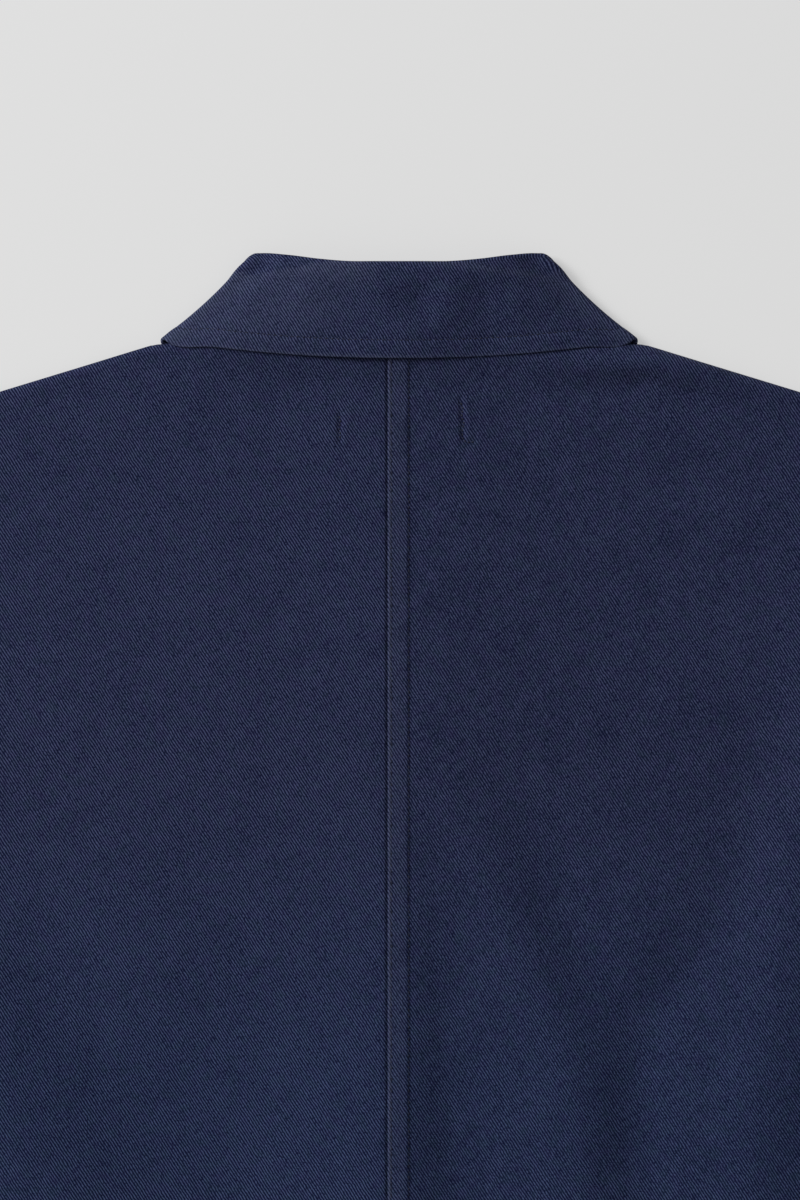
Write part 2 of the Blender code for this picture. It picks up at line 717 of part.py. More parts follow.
def mirrored(row):
    """A row continued over the centre back, from the left front end to the right one."""
    return [Vector((-p.x, p.y, p.z)) for p in reversed(row[1:])] + row


def thicken(grid, thickness):
    """Two grids, half a thickness out from the middle of the cloth on each side."""
    rows, columns = len(grid), len(grid[0])
    above, below = [], []
    for i in range(rows):
        above.append([])
        below.append([])
        for j in range(columns):
            down = grid[min(i + 1, rows - 1)][j] - grid[max(i - 1, 0)][j]
            along_row = grid[i][min(j + 1, columns - 1)] - grid[i][max(j - 1, 0)]
            normal = down.cross(along_row).normalized()
            above[-1].append(grid[i][j] + normal * thickness / 2)
            below[-1].append(grid[i][j] - normal * thickness / 2)
    return above, below


def build_collar(cloth):
    grid = [mirrored(row) for row in collar_half()]
    above, below = thicken(grid, COLLAR_CLOTH)
    return wall("collar", above, below, cloth)


# ---------------------------------------------------------------- pockets and buttons


def build_pocket(name, cloth):
    """A flat patch on the floor, with the front lying on it."""
    bm = bmesh.new()
    base = bm.faces.new([bm.verts.new(drop((p.x, p.y, 0.0))) for p in POCKET_OUTLINES[name]])
    risen = bmesh.ops.extrude_face_region(bm, geom=[base])
    top = [v for v in risen["geom"] if isinstance(v, bmesh.types.BMVert)]
    bmesh.ops.translate(bm, vec=(0, 0, CLOTH), verts=top)
    return finish(name, bm, cloth)


def build_button(name, y, resin):
    """A round button face down: a dished face inside a raised rim."""
    bm = bmesh.new()
    bmesh.ops.create_circle(bm, cap_ends=True, segments=28, radius=BUTTON_RADIUS)
    disc = bm.faces[:]
    risen = bmesh.ops.extrude_face_region(bm, geom=disc)
    back = [v for v in risen["geom"] if isinstance(v, bmesh.types.BMVert)]
    bmesh.ops.translate(bm, vec=(0, 0, BUTTON_THICK), verts=back)
    bm.faces.ensure_lookup_table()
    face = min(bm.faces, key=lambda f: f.calc_center_median().z)
    bmesh.ops.inset_region(bm, faces=[face], thickness=2.2 * MM)
    bmesh.ops.inset_region(bm, faces=[face], thickness=0.8 * MM, depth=0)
    bmesh.ops.translate(bm, vec=(0, 0, 0.6 * MM), verts=face.verts)
    rims = [e for e in bm.edges if e.calc_face_angle(0) > math.radians(60)]
    bmesh.ops.bevel(bm, geom=rims, offset=0.5 * MM, segments=1, affect="EDGES")
    bmesh.ops.translate(bm, vec=drop((0, y, 0)), verts=bm.verts)
    return finish(name, bm, resin)


def main():
    for thing in list(bpy.data.objects):
        bpy.data.objects.remove(thing)
    cloth = material("navy_twill", NAVY, 0.9)
    collar_cloth = material("collar_twill", COLLAR_NAVY, 0.9)
    resin = material("button_resin", BUTTON_NAVY, 0.35)
    build_backs(cloth)
    build_fronts(cloth)
    build_sleeve("sleeve_right", 1, cloth)
    build_sleeve("sleeve_left", -1, cloth)
    build_collar(collar_cloth)
    for name in POCKETS:
        build_pocket(name, cloth)
    for number, y in enumerate(BUTTON_YS, start=1):
        build_button(f"button_{number}", y, resin)


main()
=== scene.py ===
import math

import bpy
import numpy as np
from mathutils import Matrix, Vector
from mathutils.bvhtree import BVHTree


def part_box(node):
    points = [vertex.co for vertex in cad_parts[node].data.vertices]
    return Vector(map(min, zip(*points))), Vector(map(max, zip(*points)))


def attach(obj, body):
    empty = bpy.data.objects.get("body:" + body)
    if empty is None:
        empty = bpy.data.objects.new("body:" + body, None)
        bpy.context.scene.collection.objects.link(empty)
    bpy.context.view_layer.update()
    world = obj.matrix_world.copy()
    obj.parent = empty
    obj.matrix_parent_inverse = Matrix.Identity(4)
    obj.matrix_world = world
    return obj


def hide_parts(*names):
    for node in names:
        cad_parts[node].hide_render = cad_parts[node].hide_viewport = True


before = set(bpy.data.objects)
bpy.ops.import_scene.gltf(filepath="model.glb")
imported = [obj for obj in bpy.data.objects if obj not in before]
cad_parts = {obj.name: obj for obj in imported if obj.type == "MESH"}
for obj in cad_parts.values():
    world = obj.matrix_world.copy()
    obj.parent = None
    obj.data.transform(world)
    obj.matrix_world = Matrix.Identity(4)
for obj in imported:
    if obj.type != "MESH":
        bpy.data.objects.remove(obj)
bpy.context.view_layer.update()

mm = 0.001
fullTurn = 6.283  # in radians, of the waves in the cloth
print("frame loaded")

# plan sizes in mm, from the point where the shoulder meets the neck; +Y is towards the collar
jacket = {
    "neckHalf": 83.2,
    "shoulderHalf": 235.0,
    "shoulderSlope": 0.305,
    "underarm": (280.0, -300.0),
    "hemCorner": (285.0, -724.0),
    "backNeckDrop": 11.0,
    "frontNeckDrop": 86.0,
    "length": 730.0,
    "hemRise": 6.0,
    "placketHalf": 20.0,
    "placketRows": (17.8, -14.0),  # X of the stitches down the left placket
    "hemStitch": 20.5,  # stitches above the hem, and in from the armhole
    "armholeStitch": 8.5,
    "edgeRound": 4.0,  # plan width of the rounded edge between the top and the under sheet
    "originY": -347.9,  # plan Y of the middle of the whole jacket
    "armholeHigh": (-13.0, -84.0),
    "armholeLow": (-50.0, 16.0),
    "cloth": 1.2,
    "collarCloth": 1.8,
    "seamGap": 0.3,
    "layGap": 0.4,
    "topLevel": 5.6,  # outer face of the top sheet, away from the folds
    "placketCrown": (2.2, 45.0),  # height and width of the swell over the buttoned placket
    "neckRise": 1.0,
}
neckX, shoulderX = jacket["neckHalf"], jacket["shoulderHalf"]
shoulderPoint = np.array([shoulderX, -jacket["shoulderSlope"] * (shoulderX - neckX)])
underarmPoint = np.array(jacket["underarm"])
hemCorner = np.array(jacket["hemCorner"])


# plan and curve helpers, all in mm
def smooth(t):
    t = np.clip(t, 0.0, 1.0)
    return t * t * (3 - 2 * t)


def hump(distance, width):
    return np.exp(-((distance / width) ** 2))


def bezier(points, t):
    a, b, c, d = (np.asarray(p, float) for p in points)
    t = np.asarray(t, float)[..., None]
    s = 1 - t
    return a * s**3 + b * (3 * s * s * t) + c * (3 * s * t * t) + d * t**3


def lineLength(line):
    return float(np.hypot(*np.diff(line, axis=0).T[:2]).sum())


def unit(ways):
    return ways / np.linalg.norm(ways, axis=-1, keepdims=True)


def distancesAlong(line):  # of its points, from the first
    return np.concatenate([[0], np.linalg.norm(np.diff(line, axis=0), axis=-1).cumsum()])


def alongLine(line, distances):
    steps = distancesAlong(line)
    return np.stack([np.interp(distances, steps, track) for track in line.T], axis=-1)


def lineDistance(line, x, y):
    nearest = np.full(np.shape(x), np.inf)
    for (ax, ay), (bx, by) in zip(line[:-1], line[1:]):
        dx, dy = bx - ax, by - ay
        t = np.clip(((x - ax) * dx + (y - ay) * dy) / (dx * dx + dy * dy), 0, 1)
        nearest = np.minimum(nearest, np.hypot(x - ax - dx * t, y - ay - dy * t))
    return nearest


def outlineDistance(outline, x, y):  # negative inside
    closed = np.vstack([outline, outline[:1]])
    inside = np.zeros(np.shape(x), bool)
    for (ax, ay), (bx, by) in zip(closed[:-1], closed[1:]):
        if ay != by:
            crosses = ((ay > y) != (by > y)) & (x < ax + (bx - ax) * (y - ay) / (by - ay))
            inside ^= crosses
    distance = lineDistance(closed, x, y)
    return np.where(inside, -distance, distance)


def throughPoints(grid, counts):  # smooth curves along axis 0, counts[k] steps in each interval
    gaps = np.linalg.norm(np.diff(grid, axis=0), axis=-1, keepdims=True).clip(1e-6)
    slopes = np.diff(grid, axis=0) / gaps
    tangents = np.empty_like(grid)
    tangents[1:-1] = (slopes[1:] * gaps[:-1] + slopes[:-1] * gaps[1:]) / (gaps[1:] + gaps[:-1])
    tangents[0] = 1.5 * slopes[0] - 0.5 * tangents[1]
    tangents[-1] = 1.5 * slopes[-1] - 0.5 * tangents[-2]
    found = []
    for k, count in enumerate(counts):
        for s in np.arange(count) / count:
            a, b = (1 + 2 * s) * (1 - s) ** 2, s * s * (3 - 2 * s)
            c, d = s * (1 - s) ** 2, s * s * (s - 1)
            ends = a * grid[k] + b * grid[k + 1]
            found.append(ends + gaps[k] * (c * tangents[k] + d * tangents[k + 1]))
    return np.array(found + [grid[-1]])


def spaced(stops):  # [(from, step), ..., (last, None)] to a list of places
    places = []
    for (start, step), (end, _) in zip(stops[:-1], stops[1:]):
        count = max(1, round((end - start) / step))
        places += list(start + (end - start) * np.arange(count) / count)
    return np.array(places + [stops[-1][0]])


def backNeckline(x):
    share = np.minimum(1, np.abs(x) / neckX)
    return -jacket["backNeckDrop"] * (1 - share**2.6)


def frontNeckline(x):
    share = np.clip(x, 0, neckX) / neckX
    return -jacket["frontNeckDrop"] * np.sqrt(1 - share * share)


def shoulderLine(x):  # drawn in a little where the collar is folded round it
    tuck = 1.6 * smooth((x - 96) / 20) * smooth((128 - x) / 5)
    return -jacket["shoulderSlope"] * (x - neckX) - tuck


def hemLine(x):
    return jacket["hemRise"] * (np.abs(x) / hemCorner[0]) ** 2 - jacket["length"]


armholeHandles = (
    shoulderPoint,
    shoulderPoint + jacket["armholeHigh"],
    underarmPoint + jacket["armholeLow"],
    underarmPoint,
)
armholeLine = bezier(armholeHandles, np.linspace(0, 1, 200))
armholeLength = lineLength(armholeLine)
sideLength = float(np.linalg.norm(hemCorner - underarmPoint))
underarmShare = armholeLength / (armholeLength + sideLength)


# heights of the two sheets
folds = {
    # each crease is a line of (x, y, width, height), with the width of its other side where they differ;
    # the width is of the side on the left hand going along it, and a negative height is a trough
    "back": [
        # trough beside the seam: steep by the seam, slow on the far side
        [(22, -261, 22, 0.0, 10), (22, -297, 22, -0.7, 10), (22, -334, 23, -1.8, 10),
         (24, -370, 24, -2.8, 12), (27, -407, 25, -4.0, 15.5), (29, -443, 26, -4.8, 20),
         (31, -490, 28, -4.4, 20), (35, -573, 30, -2.4, 20), (42, -667, 30, 0.0, 20)],
        # crest left of the V
        [(19, -193, 16, 0.0, 18), (30, -240, 16, 1.0, 18), (43, -277, 16, 1.7, 18),
         (57, -313, 15.5, 2.6, 18), (71, -344, 15.5, 3.1, 19), (83, -375, 16, 3.2, 20),
         (90, -407, 17, 3.2, 22), (94, -448, 18, 3.0, 22), (97, -511, 20, 2.2, 24), (97, -589, 22, 1.4, 24),
         (93, -719, 24, 0.6, 24)],
        # trough of the V, right arm then down
        [(190, -141, 18, 0.0, 24), (182, -199, 17, -1.0, 24), (177, -251, 16, -2.0, 24),
         (172, -292, 15, -2.6, 23), (161, -321, 14, -3.0, 21), (148, -342, 13.5, -3.2, 18),
         (131, -362, 13.5, -3.6, 16), (127, -391, 13.5, -3.9, 16), (125, -433, 15, -3.7, 16),
         (128, -490, 18, -2.4, 18), (137, -604, 22, -0.6, 22)],
        # left arm of the trough
        [(59, -219, 16, 0.0), (70, -266, 16, -0.7), (85, -308, 15, -1.2), (102, -342, 15, -1.3),
         (120, -365, 14, -0.4)],
        # crest right of the V
        [(235, -43, 30, 0.0, 24), (232, -115, 30, 2.0, 24), (228, -183, 32, 4.0, 24),
         (222, -240, 34, 5.0, 23), (213, -287, 36, 5.6, 22), (203, -334, 38, 5.6, 22),
         (193, -375, 38, 5.4, 22), (187, -417, 38, 5.2, 22), (184, -469, 38, 4.4, 23),
         (187, -563, 34, 2.2, 26), (193, -667, 30, 1.4, 28)],
        [(232, -448, 24, 0.0), (234, -511, 24, -1.2), (238, -589, 24, -0.6)],
        # left trough and the crest outside it
        [(-232, -245, 30, 0.0, 24), (-206, -295, 30, -1.3, 24), (-186, -329, 30, -2.6, 24),
         (-166, -358, 30, -3.4, 24), (-143, -385, 30, -3.8, 24), (-113, -413, 30, -3.6, 24),
         (-80, -444, 30, -2.8, 24), (-48, -483, 30, -1.4, 26), (-28, -563, 30, 0.0, 28)],
        [(-275, -277, 36, 2.0), (-255, -329, 36, 5.5), (-234, -381, 38, 8.4), (-210, -422, 40, 9.4),
         (-181, -464, 40, 8.6), (-154, -542, 42, 4.6), (-140, -687, 42, 1.6)],
        # ripple from the end of the collar
        [(60, -25, 9, 0.0), (84, -24, 8.5, 2.4), (106, -24, 8, 4.8), (130, -23.5, 8, 5.8),
         (154, -28, 8.5, 5.0), (180, -38, 9, 2.8), (206, -48, 11, 0.6), (226, -54, 12, 0.0)],
        [(50, -41, 8, 0.0), (76, -40, 8.5, -1.2), (108, -39.5, 8.5, -1.9), (134, -39.5, 8.5, -1.9),
         (160, -43, 9, -1.4), (186, -51, 10, -0.4), (204, -56, 10, 0.0)],
        [(52, -86, 13, 0.0), (104, -87, 12, -0.8), (156, -87, 12, -1.0), (208, -84, 13, -0.7)],
        [(84, -106, 14, 0.0), (125, -104, 13, 0.8), (177, -102, 13, 0.7), (219, -98, 13, 0.0)],
        [(-109, -50, 9, 0.0), (-88, -48, 9, -0.6), (-62, -47, 9, -0.5), (-41, -45, 9, 0.0)],
        # over the seam allowance under the collar
        [(-124, -6, 10, 0.0, 10), (-106, -10.5, 10, 3.4, 10), (-92, -13.5, 11, 5.0, 10),
         (-66, -17.5, 11, 5.6, 11), (-44, -19, 11, 4.6, 12), (-12, -20, 11, 3.4, 12),
         (12, -19, 11, 3.8, 12), (44, -17, 11, 2.8, 11), (74, -14, 11, 2.6, 11),
         (98, -12, 11, 1.4, 11), (114, -10, 11, 0.0, 11)],
        # low on the back, near the hem and the armholes
        [(-226, -96, 26, 0.0), (-214, -180, 26, -1.0), (-204, -250, 24, 0.0)],
        [(-30, -600, 20, 0.0), (-34, -660, 20, 0.8), (-36, -728, 20, 0.8)],
        [(150, -640, 26, 0.2), (160, -690, 26, 0.8), (164, -728, 26, 0.9)],
        # sleeves, down from the shoulder, out from the underarm, and at the elbow
        [(-252, -66, 16, 0.0), (-270, -104, 20, 2.5), (-288, -180, 20, 3.2), (-298, -240, 20, 0.6)],
        [(-284, -292, 14, 0.9), (-318, -282, 15, 3.6), (-356, -268, 16, 2.7), (-384, -262, 16, 0.0)],
        [(-300, -322, 13, 0.0), (-346, -316, 14, -2.0), (-392, -312, 14, 0.0)],
        [(-322, -366, 15, 0.6), (-380, -364, 16, 3.9), (-432, -350, 17, 0.9)],
        [(-346, -408, 13, 0.0), (-396, -408, 13, -1.8), (-446, -402, 13, 0.0)],
        [(-366, -450, 15, 0.4), (-424, -440, 15, 3.3), (-476, -424, 16, 0.4)],
        [(-386, -498, 14, 0.0), (-440, -494, 14, -1.5), (-492, -480, 14, 0.0)],
        [(-398, -548, 16, 0.3), (-450, -538, 16, 2.4), (-506, -526, 16, 0.3)],
        [(-420, -598, 16, 0.0), (-462, -588, 16, 1.8), (-500, -572, 16, 0.0)],
        [(248, -66, 16, 0.0), (268, -112, 20, 2.7), (290, -186, 20, 3.3), (302, -246, 20, 0.4)],
        [(288, -294, 14, 0.9), (328, -290, 15, 3.6), (372, -282, 16, 2.4), (398, -280, 16, 0.0)],
        [(306, -330, 13, 0.0), (356, -334, 14, -2.0), (408, -340, 14, 0.0)],
        [(330, -386, 16, 0.4), (384, -378, 17, 3.6), (434, -362, 17, 0.8)],
        [(346, -424, 13, 0.0), (402, -424, 13, -1.8), (456, -416, 13, 0.0)],
        [(374, -470, 15, 0.4), (430, -464, 15, 3.3), (486, -450, 16, 0.4)],
        [(392, -516, 14, 0.0), (446, -514, 14, -1.5), (500, -498, 14, 0.0)],
        [(406, -566, 16, 0.3), (462, -556, 16, 2.4), (512, -534, 16, 0.3)],
    ],
    # broad swells: x, y, their half widths, and height
    "swells": [
        (-7, -448, 52, 160, 4.2),
        (104, -433, 120, 130, 3.6),
        (-208, -396, 80, 70, 2.0),
        (-140, -334, 36, 50, 1.8),
        (-42, -167, 95, 150, 2.2),
        (-239, -147, 60, 110, -1.2),
        (125, -209, 46, 90, -1.3),
        (37, -126, 46, 90, 0.8),
        (208, -157, 40, 50, 1.0),
        (-38, -66, 9, 7, 0.6),
        (23, -134, 14, 14, 0.5),
        (-98, -167, 20, 40, 0.5),
    ],
    # fine waves of washed cloth: height, length, way in radians, start
    "slack": [
        (0.17, 61, 0.4, 1.1), (0.13, 43, 1.3, 2.9), (0.08, 29, -0.7, 0.3), (0.06, 23, 2.2, 4.2),
        (0.035, 15, 0.1, 5.0),
    ],
    # the fronts lie on the floor and can only rise from it
    "front": [
        [(-250, -330, 18, 0.0), (-200, -390, 18, 0.9), (-140, -430, 18, 0.8), (-90, -440, 16, 0.0)],
        [(250, -322, 18, 0.0), (204, -376, 18, 0.9), (150, -424, 18, 0.9), (96, -446, 16, 0.0)],
        [(-206, -90, 16, 0.0), (-214, -160, 17, 0.8), (-226, -230, 17, 0.5), (-240, -276, 16, 0.0)],
        [(202, -84, 16, 0.0), (208, -150, 17, 0.9), (222, -226, 17, 0.6), (238, -278, 16, 0.0)],
        [(112, -180, 16, 0.0), (124, -240, 16, 0.6), (128, -310, 16, 0.7), (120, -380, 16, 0.0)],
        [(-262, -430, 14, 0.0), (-256, -520, 15, 0.8), (-258, -620, 15, 0.6), (-262, -690, 14, 0.0)],
        [(262, -440, 14, 0.0), (254, -530, 15, 0.9), (257, -610, 15, 0.6), (263, -700, 14, 0.0)],
        [(-280, -160, 14, 0.0), (-296, -210, 15, 0.9), (-306, -260, 15, 0.4), (-312, -300, 15, 0.0)],
        [(-322, -352, 13, 0.2), (-376, -346, 14, 1.0), (-420, -330, 14, 0.2)],
        [(-348, -420, 13, 0.2), (-402, -412, 14, 1.0), (-456, -396, 14, 0.2)],
        [(-384, -516, 13, 0.2), (-440, -510, 14, 0.8), (-494, -494, 14, 0.2)],
        [(278, -152, 14, 0.0), (292, -204, 15, 0.9), (304, -258, 15, 0.5), (314, -306, 15, 0.0)],
        [(318, -346, 13, 0.2), (370, -350, 14, 1.0), (424, -344, 14, 0.2)],
        [(350, -428, 13, 0.2), (404, -426, 14, 1.0), (458, -414, 14, 0.2)],
        [(390, -524, 13, 0.2), (444, -520, 14, 0.8), (500, -504, 14, 0.2)],
    ],
}

# patch pockets, in plan
pockets = {
    "hip_pocket_right": {"inner": 68, "outer": 232, "top": -478, "bottom": -668},
    "hip_pocket_left": {"inner": -232, "outer": -68, "top": -478, "bottom": -668},
    "chest_pocket": {"inner": -196, "outer": -84, "top": -236, "bottom": -366},
}
pocketCorner = 22.0
# half of the collar's outline where the fronts lie on it
collarUnderFront = np.array([(80, 30), (124, -10), (115, -52), (93, -96), (59, -135), (0, -72)], float)
buttonYs = [0.5 * (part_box(f"button_{n}")[0].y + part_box(f"button_{n}")[1].y) / mm + jacket["originY"]
            for n in range(1, 6)]


def pocketOutline(sizes):
    left, right, top, bottom = sizes["inner"], sizes["outer"], sizes["top"], sizes["bottom"]
    corners = []
    for centreX, start in ((left + pocketCorner, 180), (right - pocketCorner, 270)):
        turn = np.radians(start + np.arange(9) * 11.25)
        corners += list(zip(centreX + pocketCorner * np.cos(turn),
                            bottom + pocketCorner + pocketCorner * np.sin(turn)))
    return np.array([(right, top), (left, top)] + corners)


def creaseHeight(creases, x, y):
    total = np.zeros(np.shape(x))
    for crease in creases:
        points = throughPoints(np.array(crease, float), [7] * (len(crease) - 1))
        otherWidth = 4 if points.shape[1] > 4 else 2
        reach = 3 * points[:, [2, otherWidth]].max()
        low, high = points[:, :2].min(0) - reach, points[:, :2].max(0) + reach
        near = (x > low[0]) & (x < high[0]) & (y > low[1]) & (y < high[1])
        px, py = x[near], y[near]
        best, height, width = np.full(px.shape, np.inf), np.zeros(px.shape), np.ones(px.shape)
        for a, b in zip(points[:-1], points[1:]):
            dx, dy = b[:2] - a[:2]
            t = np.clip(((px - a[0]) * dx + (py - a[1]) * dy) / (dx * dx + dy * dy), 0, 1)
            distance = np.hypot(px - a[0] - dx * t, py - a[1] - dy * t)
            here = a + (b - a) * t[:, None]
            onLeft = dx * (py - a[1]) - dy * (px - a[0]) > 0
            closer = distance < best
            best = np.where(closer, distance, best)
            width = np.where(closer, np.where(onLeft, here[:, 2], here[:, otherWidth]), width)
            height = np.where(closer, here[:, 3], height)
        total[near] += height * hump(best, width)
    return total


def slackWaves(x, y):
    total = np.zeros(np.shape(x))
    for height, length, way, start in folds["slack"]:
        across = x * math.cos(way) + y * math.sin(way)
        along = y * math.cos(way) - x * math.sin(way)
        total += height * np.sin(fullTurn * across / length + start + 1.3 * np.sin(along / length * 2.1))
    return total


def underBase(x, y):
    def lift(distance, height, level, fall):
        return height * smooth(1 - (distance - level) / fall)

    found = [lift(outlineDistance(collarUnderFront, np.abs(x), y), 2.2, 15, 28)]
    for sizes in pockets.values():
        found.append(lift(outlineDistance(pocketOutline(sizes), x, y), 1.6, 18, 26))
    for buttonY in buttonYs:
        found.append(lift(np.hypot(x, y - buttonY), 2.6, 18, 30))
    return np.maximum.reduce(found)


def underHeight(x, y):
    x, y = np.asarray(x, float), np.asarray(y, float)
    placket = np.array([(0, -80), (0, -735)], float)
    offPlacket = smooth(lineDistance(placket, x, y) / 40 - 0.6)
    return underBase(x, y) + creaseHeight(folds["front"], x, y) * offPlacket


def topHeight(x, y):
    x, y = np.asarray(x, float), np.asarray(y, float)
    crown, crownWidth = jacket["placketCrown"]
    nape = jacket["neckRise"] * smooth((155 - np.abs(x)) / 60) * smooth(1 + y / 120)
    calm = smooth((-8 - y) / 30)
    level = jacket["topLevel"] + crown * hump(x, crownWidth) + nape + 0.7 * slackWaves(x, y) * calm
    level += creaseHeight(folds["back"], x, y)
    for centreX, centreY, wideX, wideY, height in folds["swells"]:
        level += height * hump(np.hypot((x - centreX) / wideX, (y - centreY) / wideY), 1)
    lapped = 1.6 * smooth((26 - np.abs(x)) / 6)
    # it eases onto the under sheet instead of passing through it
    lowest = underHeight(x, y) + lapped + 2 * jacket["cloth"] + 0.35
    spare = level - lowest
    return lowest + 0.5 * (spare + np.sqrt(spare * spare + 1.2))


def seamHeight(x, y):
    return (underBase(x, y) + jacket["topLevel"]) / 2


def roundAngle(distance):  # round a folded edge, from its middle to the flat of the sheet
    edge = jacket["edgeRound"]
    return np.arcsin(1 - np.minimum(distance, edge) / edge)


def placed(points):  # from plan mm to the jacket's own frame in metres
    moved = np.array(points, float)
    moved[..., 1] -= jacket["originY"]
    return moved * mm


def selectOnly(piece):
    bpy.ops.object.select_all(action="DESELECT")
    piece.select_set(True)
    bpy.context.view_layer.objects.active = piece


def applyModifier(piece, kind, **settings):
    modifier = piece.modifiers.new(kind.lower(), kind)
    for name, value in settings.items():
        setattr(modifier, name, value)
    selectOnly(piece)
    bpy.ops.object.modifier_apply(modifier=modifier.name)


def flatSize(grain, parts):
    rows = grain * mm
    first, second = rows[1:, 1:] - rows[:-1, :-1], rows[1:, :-1] - rows[:-1, 1:]
    areas = np.abs(first[..., 0] * second[..., 1] - first[..., 1] * second[..., 0]).sum(1) / 2
    area = float(areas.sum() - sum(areas[part - 1] for part in parts))
    width, length = (float(np.ptp(rows[..., k])) for k in (0, 1))
    return width, length, area


def clothSheet(node, points, grain, outward, wearAndHighlight, tube=False, parts=()):
    # points and grain are rows by columns; a tube's last column lies on its first, and a new part
    # of the cut starts at each of the rows in parts
    rows, columns = points.shape[:2]
    bpy.ops.object.select_all(action="DESELECT")
    bpy.ops.mesh.primitive_grid_add(x_subdivisions=columns - 1, y_subdivisions=rows - 1, size=1)
    sheet = bpy.context.object
    sheet.name = sheet.data.name = node + "_shell"
    flatSize(grain, parts)
    mesh = sheet.data
    mesh.vertices.foreach_set("co", placed(points).ravel())
    corners = np.empty(len(mesh.loops), np.int32)
    mesh.loops.foreach_get("vertex_index", corners)
    mesh.uv_layers.active.name = "grain"
    mesh.uv_layers.active.data.foreach_set("uv", grain.reshape(-1, 2)[corners].ravel())
    # real wear, with painted highlight on the collar and the fell's folded edge
    wornAndHighlight = mesh.attributes.new("wearAndHighlight", "FLOAT", "POINT")
    wornAndHighlight.data.foreach_set("value", wearAndHighlight.ravel())
    mesh.update()
    selectOnly(sheet)
    middle = mesh.polygons[(rows // 2) * (columns - 1) + columns // 4]
    if middle.normal.dot(Vector(outward)) < 0:
        mesh.flip_normals()
    if tube:
        bpy.ops.object.mode_set(mode="EDIT")
        bpy.ops.mesh.select_all(action="SELECT")
        bpy.ops.mesh.remove_doubles(threshold=0.000002)
        bpy.ops.object.mode_set(mode="OBJECT")
    return sheet


def clothWall(sheet, thickness, offset=-1.0, thin=None):
    # thin is a weight for each point of the grid that rounds an open edge off
    group = ""
    if thin is not None:
        edge = sheet.vertex_groups.new(name="wall")
        flat = thin.ravel()
        levels = np.round(flat, 2)
        for level in np.unique(levels):
            edge.add([int(i) for i in np.flatnonzero(levels == level)], float(level), "REPLACE")
        group = edge.name
    applyModifier(sheet, "SOLIDIFY", thickness=thickness * mm, offset=offset, use_even_offset=False,
                  vertex_group=group, thickness_vertex_group=0.0)
    sheet.vertex_groups.clear()
    selectOnly(sheet)
    bpy.ops.object.shade_smooth_by_angle(angle=math.radians(50))
    return sheet


def edgeWall(distance, radius=0.7, least=0.3):  # thickness share that rounds an edge off
    inside = np.clip(distance / radius, 0, 1)
    return least + (1 - least) * np.sqrt(1 - (1 - inside) ** 2)


stitch = {  # of the rows, whose grooves follow the same pitch
    "pitch": 3.0,
    "length": 2.4,
    "radius": 0.26,
    "dip": 0.34,  # its ends go this far into the cloth
    "lift": 0.04,
    "tackPitch": 0.55,  # in a close bar tack
    "tackRadius": 0.24,
}


# body panels: columns run down from the neck and shoulder to the hem, and bend along the armhole
def panelPlan(columnXs, steady, topLine, rowShares):
    inset, hemInset = shoulderX - jacket["edgeRound"], hemCorner[0] - jacket["edgeRound"]
    stretch = (hemInset - steady) / (inset - steady)
    hemXs = np.where(columnXs <= steady, columnXs, steady + (columnXs - steady) * stretch)
    hemXs = np.where(columnXs > inset, hemCorner[0] - (shoulderX - columnXs), hemXs)
    tops = np.stack([columnXs, topLine], -1)
    hems = np.stack([hemXs, hemLine(hemXs)], -1)
    follow = np.clip((columnXs - steady) / (inset - steady), 0, 1) ** 2
    down = rowShares / underarmShare
    edge = alongLine(armholeLine, np.clip(down, 0, 1) * armholeLength)
    side = np.clip((rowShares - underarmShare) / (1 - underarmShare), 0, 1)[:, None]
    edge = np.where(side > 0, underarmPoint + (hemCorner - underarmPoint) * side, edge)
    shares = rowShares[:, None]
    stray = edge - (tops[-1] + (hems[-1] - tops[-1]) * shares)
    plan = tops[None] + (hems - tops)[None] * shares[..., None] + stray[:, None] * follow[None, :, None]
    return plan[..., 0], plan[..., 1]


def panelRows(length, step):
    underarm = underarmShare * length
    return spaced([(0, 0.3), (1.2, 0.9), (5, step), (underarm - 5, 1.0), (underarm + 5, step),
                   (length - 3, 1.0), (length - 0.9, 0.3), (length, None)]) / length


def sideStops(step):  # of the columns from the neck outwards, closer at the rounded side edge
    return [(neckX, step), (shoulderX - jacket["edgeRound"], 0.9), (shoulderX - 1.6, 0.45), (shoulderX, None)]


def panelGrid(columnXs, steady, neckline, rows):  # its plan, and how far that is from hem and armhole
    topLine = np.where(columnXs < neckX, neckline(columnXs), shoulderLine(columnXs))
    x, y = panelPlan(columnXs, steady, topLine, rows)
    return x, y, y - hemLine(x), lineDistance(armholeLine, x, y)


def panelPoints(side, x, y, sheetHeight, up):
    shoulderXs = np.linspace(neckX, shoulderX, 60)
    top = lineDistance(np.stack([shoulderXs, shoulderLine(shoulderXs)], -1), x, y)
    # the neckline is open, so it isn't rounded
    top = np.where(x < neckX, np.maximum(top, jacket["edgeRound"] * smooth((neckX - x) / 3)), top)
    sides = lineDistance(np.array([underarmPoint, hemCorner]), x, y)
    rise = np.cos(roundAngle(top)) * np.cos(roundAngle(sides))
    seam = seamHeight(side * x, y) + up * jacket["seamGap"] / 2
    z = seam + (sheetHeight - seam) * rise
    return np.stack([side * x, y, z], -1)


fell = {  # centre back seam, lapped by the right panel
    "left": -6.0,
    "stitch": 5.0,
    "edgeStitch": -4.0,
    "raise": 0.8,  # over the left panel, which is pressed down by "dip" under it
    "dip": 0.8,
    "drop": (3.9, 6.4),  # falls back to the single cloth between these
    "ridge": 0.38,  # swell along the folded edge
    "pucker": 0.6,
    "puckerLength": 5.2,
    "besideStitch": 0.26,  # the pucker goes on outside the strip
    "groove": 0.3,
    "edgeGroove": 0.12,
}


